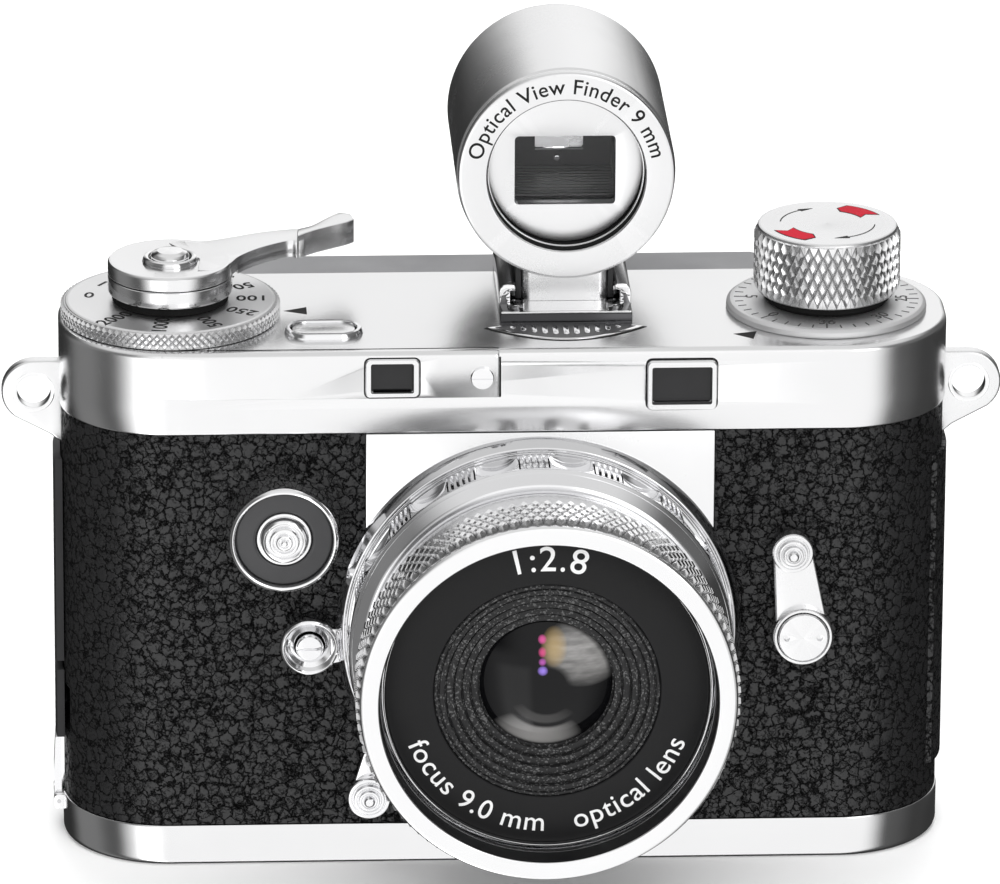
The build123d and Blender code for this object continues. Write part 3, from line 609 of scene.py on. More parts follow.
def glass(name, col, rough=0.01, coat=(0.6, 0.45, 1.0), film=0.0, trans=1.0, ior=1.52):
    q = Nt(name)
    dust = q.ramp(q.noise(q.co, 900, 3), [(0.5, 0.0), (0.8, 1.0)])
    smear = q.noise(q.scale(q.co, (1, 1, 3)), 260, 3)
    r = q.math("MULTIPLY", smear, rough * 2)
    q.set(color=q.mix(q.math("MULTIPLY", dust, 0.15), col, tuple(min(1, x * 0.8 + 0.05) for x in col)), rough=r, trans=trans, ior=ior, coat=0.06, coat_rough=0.02,
          coat_tint=coat)
    if film:
        q.set(film=film, film_ior=1.38)
    return q.m


def lens_face(name, centre):
    """Coated front element seen against the dark inside of the lens: black glass with the pale arcs and small coloured
    ghosts of the elements behind it painted into its base colour as painted reflections.
    """
    q = Nt(name)
    sep = q.n("ShaderNodeSeparateXYZ")
    q.l(q.co, sep.inputs[0])
    x = q.math("MULTIPLY", q.math("SUBTRACT", sep.outputs[0], centre[0] * MM), 1000.0)
    z = q.math("MULTIPLY", q.math("SUBTRACT", sep.outputs[2], centre[1] * MM), 1000.0)
    r = q.math("SQRT", q.math("ADD", q.math("MULTIPLY", x, x), q.math("MULTIPLY", z, z)))

    def blob(a, b, sx, sz):
        u = q.math("DIVIDE", q.math("SUBTRACT", x, a), sx)
        v = q.math("DIVIDE", q.math("SUBTRACT", z, b), sz)
        d = q.math("SUBTRACT", 1.0, q.math("ADD", q.math("MULTIPLY", u, u), q.math("MULTIPLY", v, v)), clamp=True)
        return d

    def ring(r0, r1, soft):
        return q.math("MULTIPLY", q.remap(r, r0 - soft, r0 + soft, 0.0, 1.0), q.remap(r, r1 - soft, r1 + soft, 1.0, 0.0))
    streak = q.noise(q.scale(q.co, (700, 700, 2600)), 1.0, 2, 0.5)
    # pale arcs: painted reflections of the elements behind, fixed in the colour
    reflection_arcs = q.math("MULTIPLY", q.math("MULTIPLY", ring(1.7, 4.75, 0.25), blob(2.9, 2.6, 3.3, 2.7)), q.remap(streak, 0.3, 0.7, 0.55, 1.0))
    low = q.math("MULTIPLY", ring(3.3, 4.75, 0.12), blob(-0.9, -4.2, 3.6, 2.4))
    mid = q.math("MULTIPLY", ring(2.2, 2.9, 0.10), blob(-0.6, -2.8, 2.9, 1.7))
    v = q.math("ADD", q.math("MULTIPLY", reflection_arcs, 0.34), q.math("ADD", q.math("MULTIPLY", low, 0.24), q.math("MULTIPLY", mid, 0.05)), clamp=True)
    base = q.mix(v, (0.003, 0.003, 0.0035), (1.0, 0.98, 0.96))
    # coloured ghosts and amber glow: painted reflections
    for a, b, sx, sz, c, k in ((0.55, 3.0, 1.0, 1.5, (0.75, 0.52, 0.20), 0.40), (-0.32, 3.55, 0.34, 0.36, (0.75, 0.10, 0.35), 0.85), (-0.32, 2.65, 0.32, 0.40, (0.70, 0.08, 0.25), 0.80),
                               (-0.32, 1.95, 0.30, 0.30, (0.55, 0.12, 0.50), 0.75), (-0.30, 1.30, 0.40, 0.38, (0.34, 0.22, 0.80), 0.85)):
        base = q.mix(q.math("MULTIPLY", blob(a, b, sx, sz), k), base, c)
    smear = q.noise(q.co, 400, 3)
    q.set(color=base, rough=q.remap(smear, 0.3, 0.7, 0.03, 0.07), spec=0.22, normal=q.bump(smear, 0.02, 0.00001))
    return q.m


def dark_glass(name, col=(0.012, 0.012, 0.014), rough=0.04):
    q = Nt(name)
    n1 = q.noise(q.co, 300, 3)
    dust = q.ramp(q.noise(q.co, 6000, 2), [(0.68, 0.0), (0.8, 1.0)])
    q.set(color=q.mix(n1, tuple(x * 0.7 for x in col), tuple(x * 1.4 for x in col)), rough=q.math("ADD", q.remap(n1, 0.3, 0.7, rough * 0.7, rough * 1.4), q.math("MULTIPLY", dust, 0.1)),
          spec=0.3, coat=0.15, coat_rough=0.03)
    return q.m


CHROME = (0.86, 0.86, 0.87)
M = {}
M["satin"] = metal("satin_chrome", (0.86, 0.86, 0.865), 0.235, grain=0.5, scratch=0.3)
M["satin_front"] = metal("satin_front_plate", (0.86, 0.86, 0.865), 0.26, grain=0.5, scratch=0.3)
M["base"] = metal("base_plate_chrome", (0.82, 0.82, 0.825), 0.15, grain=0.4, scratch=0.3)
M["bright"] = metal("bright_chrome", CHROME, 0.12, grain=0.12, scratch=0.3)
M["mirror"] = metal("polished_chrome", (0.90, 0.90, 0.905), 0.06, grain=0.06, scratch=0.25)
M["alloy"] = metal("satin_alloy", (0.87, 0.87, 0.875), 0.25, grain=0.8, grain_scale=11000, scratch=0.15)
M["face"] = metal("finder_face_alloy", (0.84, 0.84, 0.845), 0.30, grain=0.9, grain_scale=12000, scratch=0.1)
M["bezel"] = turned_metal("lens_bezel_chrome", (0.90, 0.90, 0.905), 0.16, "y", (LX, LZ), aniso=0.3)
M["barrel"] = turned_metal("lens_barrel_chrome", (0.86, 0.86, 0.87), 0.15, "y", (LX, LZ), strength=0.15, aniso=0.1)
M["flange"] = metal("flange_chrome", (0.72, 0.72, 0.73), 0.06, grain=0.1, scratch=0.3)
M["smooth"] = metal("smooth_lens_chrome", (0.88, 0.88, 0.89), 0.11, grain=0.15, scratch=0.2)
M["dial"] = turned_metal("speed_dial_face", (0.86, 0.86, 0.865), 0.36, "z", DIAL, aniso=0.45)
M["hub"] = turned_metal("lever_hub_face", (0.86, 0.86, 0.865), 0.17, "z", DIAL, aniso=0.35)
M["hubside"] = metal("lever_collar_chrome", (0.86, 0.86, 0.865), 0.13, grain=0.2, scratch=0.3)
M["fdial"] = turned_metal("frame_dial_face", (0.90, 0.90, 0.905), 0.55, "z", KNOB, aniso=0.45)
M["knobtop"] = turned_metal("knob_face", (0.86, 0.86, 0.865), 0.28, "z", KNOB, aniso=0.4)
M["grey"] = metal("grey_satin_housing", (0.30, 0.30, 0.31), 0.40, grain=1.0, grain_scale=8000, scratch=0.2)
# near-black chrome for the shoe floor: painted shade of the rails over the slot
M["dark_chrome"] = metal("shoe_floor_painted_shade_chrome", (0.055, 0.055, 0.058), 0.22, grain=0.2, scratch=0.3)
M["gunmetal"] = metal("gunmetal_ring", (0.20, 0.20, 0.205), 0.20, grain=0.2, scratch=0.3)
M["lens_knurl"] = knurled_metal("lens_knurl_chrome", "y", (LX, LZ), 13.60, 13.9, 0.55)
M["knob_knurl"] = knurled_metal("knob_knurl_chrome", "z", KNOB, 5.13, 5.30, 0.55)
M["dial_knurl"] = knurled_metal("dial_knurl_chrome", "z", DIAL, 7.86, 8.0, 0.75, rough=0.25)
M["steel"] = metal("turned_steel", (0.62, 0.62, 0.63), 0.3, grain=0.5)
M["leather"] = leather()
M["rubber"] = plastic("black_rubber", (0.014, 0.014, 0.015), 0.55, 0.4, 7000, 0.4)
M["paint"] = plastic("black_ring_paint", (0.008, 0.008, 0.0085), 0.50, 0.3, 9000, 0.22)
M["sparkle"] = plastic("black_sparkle_steps", (0.010, 0.010, 0.0105), 0.5, 1.0, 15000, 0.35, speck=0.22)
M["plastic"] = plastic("black_moulding", (0.016, 0.016, 0.017), 0.48, 0.3)
M["insul"] = plastic("socket_insulator", (0.040, 0.040, 0.042), 0.36, 0.2)
M["cavity"] = plastic("matt_black_interior", (0.006, 0.006, 0.006), 0.7, 0.3)
M["ink"] = plastic("black_engraving_ink", (0.010, 0.010, 0.010), 0.6, 0.3, spec=0.2)
# shadow_gap: near-black strips in joints, gaps and undersides, painted shadow
M["gap"] = plastic("shadow_gap", (0.012, 0.012, 0.012), 0.8, 0.3, spec=0.05)
M["badge"] = plastic("badge_field", (0.035, 0.035, 0.037), 0.35, 0.3)
M["greyink"] = plastic("grey_engraving_ink", (0.06, 0.06, 0.06), 0.6, 0.3, spec=0.2)
M["white"] = plastic("white_engraving_ink", (0.86, 0.86, 0.86), 0.5, 0.3)
M["red"] = plastic("red_enamel", (0.42, 0.003, 0.018), 0.30, 0.5, 4500, 0.02)
M["glass2"] = glass("inner_element_glass", (0.50, 0.48, 0.54), 0.002, coat=(1.0, 0.70, 0.45), ior=1.22)
M["frost"] = glass("frosted_eye_glass", (0.40, 0.40, 0.40), 0.30, coat=(1.0, 1.0, 1.0), ior=1.3)
M["lens_face"] = lens_face("front_element_painted_reflections", (LX, LZ))
M["window"] = dark_glass("window_glass", (0.014, 0.014, 0.015))
M["display"] = dark_glass("display_glass", (0.008, 0.008, 0.010), 0.03)
M["finder_glass"] = glass("finder_front_glass", (0.97, 0.97, 0.98), 0.004, coat=(1.0, 1.0, 1.0), ior=1.25)
M["sensor"] = dark_glass("sensor_cover", (0.03, 0.02, 0.045), 0.05)
M["board"] = plastic("board_solder_mask", (0.02, 0.11, 0.05), 0.35, 0.3)
M["battery"] = plastic("battery_sleeve", (0.05, 0.07, 0.11), 0.3, 0.2)

# ============================================================================= casings
CB = "camera_body"


def ring(off, z, n=26, mid=6):
    """One level of the rounded-rectangle plan, inset by off."""
    out = []
    a, b, r = W / 2 - RC, D / 2 - RC, RC - off
    for sx, sy, a0 in ((1, 1, 0), (-1, 1, 90), (-1, -1, 180), (1, -1, 270)):
        for i in range(n + 1):
            t = radians(a0 + 90 * i / n)
            out.append((sx * a + r * cos(t), sy * b + r * sin(t), z))
    return out


def plan_shell(levels, n=26, cap0=True, cap1=True):
    V, F = [], []
    L = [ring(o, z, n) for o, z in levels]
    m = len(L[0])
    for r in L:
        V += r
    for i in range(len(L) - 1):
        for j in range(m):
            k = (j + 1) % m
            F.append([i * m + j, i * m + k, (i + 1) * m + k, (i + 1) * m + j])
    if cap0:
        F.append(list(range(m)))
    if cap1:
        F.append([(len(L) - 1) * m + j for j in range(m)])
    return V, F


# --- top cover
lv = [(1.1, 39.6), (1.1, Z_TOP + 0.02), (0.16, Z_TOP + 0.02), (0.05, Z_TOP + 0.06), (0.0, Z_TOP + 0.18), (0.0, 36.0), (0.0, 39.4)]
lv += [(0.5 - 0.5 * cos(t), H - 0.5 + 0.5 * sin(t)) for t in [radians(90 * i / 8) for i in range(9)]]
V, F = plan_shell(lv, 40)
cover = make("top_cover_shell", V, F, M["satin"], CB, ("top_cover",), 25)
tools = []
for x, z, w, h, d in ((-8.5, 38.55, 3.06, 2.2, 2.2), (12.78, 37.75, 4.33, 2.8, 2.2)):
    v, f = slab_vf(rrect(w, h, 0.15, x, z, 3), -10.5, -9.1 + d, "y", 0)
    tools.append(cutter(v, f))
v, f = slab_vf(rrect(4.0, 2.6, 0.4, 12.78, 37.5, 4), 7.0, 10.5, "y", 0)
tools.append(cutter(v, f))
boolean(cover, tools, "DIFFERENCE", 0.05, 25)

# --- raised panel on the front left of the cover
V, F = [], []
xs = [-25.6, -25.2, -24.6, -23.9, -23.0, -22.0, -16, -10, -5, -1.0, -0.80, -0.70, -0.66]
N_ARC = 8
rows = []
for x in xs:
    t = min(1.0, max(0.0, (x + 25.6) / 3.6))
    proud = 0.32 * (t * t * (3 - 2 * t))
    base_y = -9.1
    if x < -24.9:
        base_y = -(1.1 + sqrt(max(0, 64 - (x + 24.9) ** 2)))
    cut = 0.0
    if x > -0.81:
        cut = {-0.80: 0.0, -0.70: 0.04, -0.66: 0.12}[x]
    yf = base_y - proud + cut
    if proud < 1e-4:
        yf = base_y + 0.01
    r = 0.5
    pts = [(-8.4, H - 0.03), (-8.4, H)] + [(yf + r - r * sin(radians(90 * i / N_ARC)), H - r + r * cos(radians(90 * i / N_ARC))) for i in range(N_ARC + 1)]
    pts += [(yf, 37.02), (yf + 0.02, 36.97), (yf + 0.07, 36.95), (-8.7, 36.95)]
    rows.append([(x, a, b) for a, b in pts])
m = len(rows[0])
for r in rows:
    V += r
for i in range(len(rows) - 1):
    for j in range(m):
        k = (j + 1) % m
        F.append([i * m + j, i * m + k, (i + 1) * m + k, (i + 1) * m + j])
F.append(list(range(m)))
F.append([(len(rows) - 1) * m + j for j in range(m)])
panel = make("cover_front_panel", V, F, M["satin"], CB, (), 25)
tools = [cutter(*slab_vf(rrect(3.06, 2.2, 0.15, -8.5, 38.55, 3), -10.5, -8.0, "y", 0))]
boolean(panel, tools, "DIFFERENCE", 0.04, 25)

# --- near-black strips of painted shadow round the raised panel and the window frames
parts = []
pts = [(-23.4, 0.0)] + [(-22.6, 0.035), (-20.0, 0.06), (-0.72, 0.06), (-0.60, 0.12)]
parts.append(slab_vf([(-23.6, 36.93), (-21.5, 36.90), (-0.55, 36.88), (-0.50, 36.94), (-0.52, 40.0), (-0.68, 40.0), (-0.68, 36.98), (-21.5, 36.97)], -9.135, -8.9, "y", 0))
V, F = join_vf(parts)
make("panel_painted_shadow_line", V, F, M["gap"], CB, (), 30)
parts = [slab_vf(rrect(5.33, 4.0, 0.5, 12.78, 37.75, 6), -9.14, -8.9, "y", 0), slab_vf(rrect(4.16, 3.16, 0.46, -8.5, 38.55, 6), -9.455, -9.2, "y", 0)]
V, F = join_vf(parts)
wl = make("window_frame_painted_shadow", V, F, M["gap"], CB, (), 30)
boolean(wl, [cutter(*slab_vf(rrect(4.5, 2.95, 0.15, 12.78, 37.75, 3), -10.5, -7, "y", 0)), cutter(*slab_vf(rrect(3.2, 2.35, 0.15, -8.5, 38.55, 3), -10.5, -7, "y", 0))], "DIFFERENCE", 0, 30)

# --- rim of the oval button and the button
V, F = [], []
o1, o2 = stadium(5.8, 3.6, -13.4, -4.85, 20), stadium(4.85, 2.65, -13.4, -4.85, 20)
oM1, oM2 = stadium(5.56, 3.36, -13.4, -4.85, 20), stadium(5.05, 2.85, -13.4, -4.85, 20)
lvls = [(o1, H - 0.2), (o1, H + 0.06), (stadium(5.62, 3.42, -13.4, -4.85, 20), H + 0.40), (stadium(5.5, 3.3, -13.4, -4.85, 20), H + 0.48), (stadium(5.0, 2.8, -13.4, -4.85, 20), H + 0.48), (stadium(4.92, 2.72, -13.4, -4.85, 20), H + 0.44), (o2, H + 0.34), (o2, H - 0.2)]
m = len(o1)
for o, z in lvls:
    V += [(a, b, z) for a, b in o]
for i in range(len(lvls)):
    i2 = (i + 1) % len(lvls)
    for j in range(m):
        k = (j + 1) % m
        F.append([i * m + j, i * m + k, i2 * m + k, i2 * m + j])
make("power_button_rim", V, F, M["bright"], CB, (), 40)
# dark slab in the gap round the button: painted shadow
slab("power_button_painted_shadow", stadium(4.86, 2.66, -13.4, -4.85, 20), H - 0.6, H + 0.12, "z", M["gap"], CB, (), 0.02, 1, 30)
slab("power_button_cap", stadium(4.60, 2.40, -13.4, -4.85, 20), H - 1.6, H + 0.34, "z", M["satin"], "power_button", ("power_button",), 0.16, 3, 30)

# --- base plate
lv = [(1.2, Z_BASE - 0.02), (0.20, Z_BASE - 0.02), (0.09, Z_BASE - 0.06), (0.05, Z_BASE - 0.18), (0.05, 1.6), (0.05, 0.62)]
lv += [(0.05 + 0.6 - 0.6 * cos(t), 0.6 - 0.6 * sin(t)) for t in [radians(90 * i / 8) for i in range(1, 9)]]
V, F = plan_shell([(1.2, 1.0)] + lv, 40)
base = make("base_plate_shell", V, F, M["base"], CB, ("base_plate",), 25)
tools = [cutter(*slab_vf(rrect(16.6, 12.2, 0.25, 21.9, 0, 3), -2, 3, "z", 0))]
for x, y in ((-26.0, 0.0), (6.0, 0.0)):
    tools.append(cutter(*lathe_vf([(0, -1), (1.04, -1), (1.04, 0.46), (0, 0.46)], "z", (x, y), 48, 0)))
tools.append(cutter(*slab_vf([(-34.2, 1.5), (-32.78, 1.5), (-32.78, 4), (-34.2, 4)], -1.3, 1.3, "y", 0)))
boolean(base, tools, "DIFFERENCE", 0.05, 25)
for i, s in enumerate((-1, 1)):
    slab("latch_ear_%d" % (i + 1), rrect(1.15, 1.15, 0.35, -33.0, 2.32, 5), s * 1.3, s * 1.72, "y", M["satin"], CB, (), 0.05, 2, 30)

# battery door with its thumb groove
door = slab("battery_door_panel", rrect(16.4, 11.9, 0.25, 21.9, 0.05, 4), 0.06, 0.92, "z", M["satin"], "battery_door", ("battery_door",), 0.07, 2, 30)
tools = [cutter(*slab_vf(stadium(5.0, 0.9, 21.9, -4.7, 8), -0.5, 0.3, "z", 0))]
for i in range(3):
    tools.append(cutter(*slab_vf(stadium(8.0, 0.25, 21.9, 3.2 + 0.7 * i, 6), -0.5, 0.16, "z", 0)))
boolean(door, tools, "DIFFERENCE", 0.03, 25)

# --- front plate and flange
V, F = slab_vf([(-10.42, LZ + 0.1), (15.27, LZ + 0.1), (15.27, Z_TOP - 0.05), (-10.42, Z_TOP - 0.05)], -9.06, -8.4, "y", 0.07, 2)
make("front_plate_panel", V, F, M["satin_front"], CB, ("front_plate",), 30)
lathe("lens_flange", [(11.9, -8.6), (15.05, -8.6), (15.05, -9.2), (14.98, -9.5), (14.55, -10.12), (14.42, -10.18), (14.38, -10.05), (14.22, -10.05), (14.18, -10.2), (13.4, -10.2), (13.4, -9.9), (11.9, -9.9)],
      "y", (LX, LZ), M["flange"], CB, (), 220, 0.05, 3, 30)

for nm in ("leather_wrap",):
    o = NODES[nm]
    o.data.materials.clear()
    o.data.materials.append(M["leather"])


def paint(node, mat):
    o = NODES[node]
    for i in range(len(o.material_slots)):
        o.material_slots[i].material = mat
    if not o.material_slots:
        o.data.materials.append(mat)


for nd, mt in (("body_casing", "cavity"), ("leather_wrap", "leather"), ("lens_base", "cavity"), ("hinge_pins", "steel"), ("circuit_boards", "board"), ("battery", "battery"),
               ("card_slot", "steel"), ("memory_card", "plastic"), ("usb_socket", "steel"), ("display_module", "plastic"), ("image_sensor", "sensor"),
               ("shutter_switch", "plastic"), ("finder_tunnel", "cavity"), ("slotted_screws", "bright"), ("card_door", "rubber"), ("usb_cover", "rubber"),
               ("base_latch", "bright")):
    paint(nd, M[mt])

# ============================================================================= lens
LC = (LX, LZ)
# focus ring: scallops cut by a round-nosed cutter between fields of grip ridges
NS = 16
step = 360.0 / NS
ang = []
for k in range(NS):
    c0 = k * step + 9.0
    for i in range(27):
        ang.append((c0 + 6.62 * (-1 + 2 * i / 26), None))
    cr = c0 + step / 2
    for i in range(5):
        a = cr + (i - 2) * 1.86
        ang += [(a - 0.78, 0), (a - 0.42, 1), (a + 0.42, 1), (a + 0.78, 0)]
ang = [((a + 720) % 360, r) for a, r in ang]
ang.sort(key=lambda q: q[0])
R_F, R_FL, R_IN = 14.2, 13.6, 13.0
ys = [-10.40, -10.50, -10.62] + [-10.62 - 3.0 * (i / 26) for i in range(1, 27)] + [-13.75, -13.88, -13.95]
CUT_R, CUT_C, CUT_Y = 2.05, 15.32, -11.85
V, F, idx = [], [], []
for y in ys:
    row = []
    for a, rg in ang:
        if y > -10.6:
            rr = R_F - 0.25 + 0.25 * (-10.40 - y) / 0.22 if y > -10.62 else R_F
            rr = min(rr, R_F)
        elif y < -13.70:
            rr = R_F - (y + 13.70) * -0.9
        else:
            rr = R_F
        if rg is not None:
            if rg == 0 and -10.62 > y > -13.0:
                rr = min(rr, R_FL)
            elif rg == 0 and y <= -13.0:
                rr = min(rr, R_FL + (R_F - R_FL) * min(1, (-13.0 - y) / 0.45))
        # scallop
        k = round((a - 9.0) / step)
        da = radians(a - 9.0 - k * step)
        # ray from the axis at angle da meets the cutter's circle of radius CUT_R centred at CUT_C
        if y >= CUT_Y:
            rc = CUT_R
        else:
            rc2 = CUT_R ** 2 - (y - CUT_Y) ** 2
            rc = sqrt(rc2) if rc2 > 0 else 0
        s = CUT_C * sin(abs(da))
        if rc > s:
            rr = min(rr, CUT_C * cos(da) - sqrt(rc * rc - s * s))
        row.append(len(V))
        V.append(axis_pt("y", LC, rr, radians(a), y))
    idx.append(row)
n = len(ang)
for i in range(len(ys) - 1):
    for j in range(n):
        k = (j + 1) % n
        F.append([idx[i][j], idx[i][k], idx[i + 1][k], idx[i + 1][j]])
for row, y, r_in in ((idx[0], ys[0], 11.5), (idx[-1], ys[-1], 11.5)):
    o = len(V)
    V += [axis_pt("y", LC, r_in, radians(a), y) for a, _ in ang]
    for j in range(n):
        k = (j + 1) % n
        F.append([row[j], row[k], o + k, o + j])
o1, o2 = len(V) - 2 * n, len(V) - n
for j in range(n):
    k = (j + 1) % n
    F.append([o1 + j, o1 + k, o2 + k, o2 + j])
make("focus_ring_grip", V, F, M["smooth"], "focus_ring", ("focus_ring",), 38)
lathe("focus_ring_skirt", [(11.3, -13.9), (R_F - 0.22, -13.9), (R_F - 0.26, -13.98), (13.35, -14.72, 0.05), (13.2, -14.8), (12.95, -14.8), (12.95, -14.6), (11.3, -14.6)], "y", LC, M["smooth"], "focus_ring", (), 220, 0.04, 3, 30)
lathe("focus_ring_rear", [(11.3, -10.24), (14.0, -10.24), (14.05, -10.3), (14.02, -10.44), (11.3, -10.44)], "y", LC, M["flange"], "focus_ring", (), 220, 0.03, 2, 30)

# barrel
lathe("lens_barrel_shell", [(11.2, -14.2), (12.80, -14.2), (12.84, -15.0), (12.90, -15.3), (13.34, -19.3, 0.1), (13.34, -19.95), (13.2, -20.15), (12.3, -20.15), (12.12, -22.2), (11.96, -22.2), (11.96, -21.3), (11.2, -21.3)],
      "y", LC, M["barrel"], "lens_cell", ("lens_barrel",), 240, 0.05, 3, 30)
lathe("lens_inner_tube", [(5.35, -19.9), (8.4, -19.9), (8.4, -8.0), (4.7, -8.0), (4.7, -13.9), (1.6, -13.9), (1.6, -14.2), (4.7, -14.2), (4.7, -18.7), (5.35, -18.7)], "y", LC, M["cavity"], "lens_cell", (), 128, 0.03, 2, 30)

# aperture ring: plain conical shoulder, knurled belt, groove, polished bezel
lathe("aperture_ring_core", [(13.40, -19.36), (13.44, -19.36), (13.46, -19.5), (13.46, -24.2), (12.5, -24.2), (12.5, -20.34), (13.44, -20.34)], "y", LC, M["bright"], "aperture_ring", ("aperture_ring",), 240, 0.03, 2, 30)
V, F = knurl_vf("y", LC, -19.42, -24.14, 13.56, 14.02, 102, 3, 0.62, 13.4)
make("aperture_ring_knurl", V, F, M["lens_knurl"], "aperture_ring", (), 20, smooth=False)
lathe("front_bezel_ring", [(12.36, -24.18), (13.74, -24.18), (13.76, -24.55), (13.66, -24.74), (13.5, -24.8), (12.44, -24.8), (12.36, -24.75)],
      "y", LC, M["bezel"], "aperture_ring", ("front_bezel",), 256, 0.05, 3, 28)
lathe("front_bezel_inner_wall", [(12.40, -24.0), (12.40, -24.70), (12.34, -24.72), (12.31, -24.6), (12.24, -23.3), (12.20, -22.5), (12.5, -22.5), (12.5, -24.0)],
      "y", LC, M["paint"], "aperture_ring", (), 220, 0.03, 2, 28)
lathe("front_bezel_line", [(12.16, -22.90), (12.20, -23.04), (12.34, -23.04), (12.34, -22.90)], "y", LC, M["gunmetal"], "aperture_ring", (), 220, 0.02, 2, 28)

# dark ring, stepped baffle
lathe("dark_lens_ring", [(8.28, -21.95), (8.36, -22.02), (11.80, -22.02), (11.80, -21.5), (11.2, -21.5), (11.2, -21.2), (8.28, -21.2)], "y", LC, M["paint"], "lens_cell", ("name_ring",), 220, 0.03, 3, 30)
lathe("dark_ring_edge", [(11.82, -21.35), (11.82, -22.06), (11.88, -22.42), (11.94, -22.46), (11.95, -21.35)], "y", LC, M["mirror"], "lens_cell", (), 220, 0.02, 2, 30)
steps = [(8.25, -20.6), (8.25, -21.86), (8.16, -21.94), (8.0, -21.94), (7.95, -21.75), (7.88, -21.75), (7.84, -21.93), (7.5, -21.93)]
r, y = 7.5, -21.93
for i in range(4):
    steps += [(r, y), (r - 0.05, y + 0.46), (r - 0.14, y + 0.46)]
    r, y = r - 0.16, y + 0.30
    steps += [(r, y), (r - 0.46, y)]
    r -= 0.46
steps += [(r - 0.05, y + 0.40), (4.98, y + 0.42), (4.86, y + 0.5), (4.86, -20.05), (8.25, -20.05)]
steps = [p for i, p in enumerate(steps) if i == 0 or hypot(p[0] - steps[i - 1][0], p[1] - steps[i - 1][1]) > 1e-4]
lathe("stepped_baffle", steps, "y", LC, M["sparkle"], "lens_cell", ("lens_baffle",), 200, 0.03, 2, 25)


def dome(r, yf, yb, sf, sb, c, n=16, edge=0.08):
    pts = []
    for i in range(n + 1):
        t = i / n
        pts.append((r * t, yf - sf * (1 - t * t)))
    for i in range(n + 1):
        t = 1 - i / n
        pts.append((r * t, yb + sb * (1 - t * t)))
    return lathe_vf(pts, "y", c, 96, 0, 1)


V, F = dome(5.3, -19.9, -18.9, 1.45, -0.5, LC)
make("front_lens_element", V, F, M["lens_face"], "lens_cell", ("front_element",), 40)
V, F = join_vf([dome(4.6, -16.6, -15.2, 0.9, 0.4, LC), dome(4.6, -11.4, -10.0, 0.5, 0.6, LC)])
make("rear_lens_elements", V, F, M["glass2"], "lens_cell", ("rear_elements",), 40)

# lettering of the lens ring: focal length and aperture figures only


def arc_text(items, c, y, depth=0.012):
    """Text bent round an arc in the XZ plane and read from the front. items: (text, size, radius, angle of its middle clockwise from the top, upright, bold)."""
    parts = []
    for s, size, r, a0, upright, bold, sp in items:
        V, F = text_vf(s, size, depth, bold, "CENTER", sp)
        out = []
        for x, yy, z in V:
            if upright:
                rr, a = r + yy, radians(a0) + x / r
            else:
                rr, a = r - yy, radians(a0) - x / r
            out.append((c[0] + rr * sin(a), y - z, c[1] + rr * cos(a)))
        parts.append((out, F))
    return join_vf(parts)


V, F = arc_text([("1:2.8", 2.7, 10.2, 0, True, 0.01, 1.12), ("focus 9.0 mm   optical lens", 2.12, 10.3, 180, False, 0.008, 1.06)], LC, -22.03, 0.010)
make("lens_ring_figures", V, F, M["white"], "lens_cell", (), 30)

# ============================================================================= front fittings
sx, sz = SOCK
lathe("flash_socket_cup", [(3.35, -8.6), (4.55, -8.6), (4.56, -9.2), (4.45, -9.6, 0.3), (4.06, -11.2, 0.2), (3.98, -11.42), (3.80, -11.55), (3.66, -11.5), (3.6, -11.3), (3.55, -10.2), (3.35, -10.2)], "y", SOCK, M["mirror"], CB, ("flash_socket_shell",), 128, 0.05, 4, 32)
lathe("flash_socket_insert", [(1.78, -9.0), (3.56, -9.0), (3.56, -10.98), (3.44, -11.08), (3.2, -11.08), (2.3, -11.16), (2.12, -11.1), (2.08, -10.7), (1.78, -10.7)], "y", SOCK, M["insul"], CB, ("flash_socket_insulator",), 128, 0.05, 3, 30)
lathe("flash_socket_pin", [(0, -10.2), (2.06, -10.2), (2.06, -11.0), (1.98, -11.12), (1.80, -11.12), (1.76, -11.3), (1.66, -11.62), (1.5, -11.72), (1.36, -11.66), (1.3, -11.4), (1.18, -11.4), (1.12, -11.78), (1.02, -11.9), (0.84, -11.9),
                           (0.78, -11.6), (0.66, -11.6), (0.6, -11.95), (0.52, -12.0), (0.40, -11.98), (0.34, -11.75), (0.27, -11.8), (0.24, -12.1), (0.16, -12.2), (0, -12.22)], "y", SOCK, M["mirror"], CB, ("flash_socket_contact",), 96, 0.03, 3, 30)

lathe("release_guard_ring", [(1.15, -8.6), (2.2, -8.6), (2.2, -9.9), (2.12, -10.12), (1.98, -10.2), (1.84, -10.12), (1.62, -9.92), (1.30, -9.78), (1.15, -9.7)], "y", REL, M["bright"], CB, ("release_guard",), 96, 0.04, 3, 30)
V, F = slab_vf([(REL[0] + 1.55, REL[1] - 1.35), (LX - 14.62, REL[1] - 1.2), (LX - 14.85, REL[1] + 0.3), (LX - 14.62, REL[1] + 1.35), (REL[0] + 1.45, REL[1] + 1.45)], -10.02, -9.0, "y", 0.12, 3)
make("release_guard_tab", V, F, M["bright"], CB, (), 30)
btn = lathe("release_button_screw", [(0, -8.0), (1.02, -8.0), (1.02, -10.18), (0.9, -10.32), (0, -10.36)], "y", REL, M["bright"], "release_button", ("release_button",), 64, 0.05, 3, 30)
boolean(btn, [cutter(*slab_vf([(REL[0] - 1.3, REL[1] - 0.12), (REL[0] + 1.3, REL[1] - 0.12), (REL[0] + 1.3, REL[1] + 0.12), (REL[0] - 1.3, REL[1] + 0.12)], -11, -10.12, "y", 0))], "DIFFERENCE", 0.02, 30)


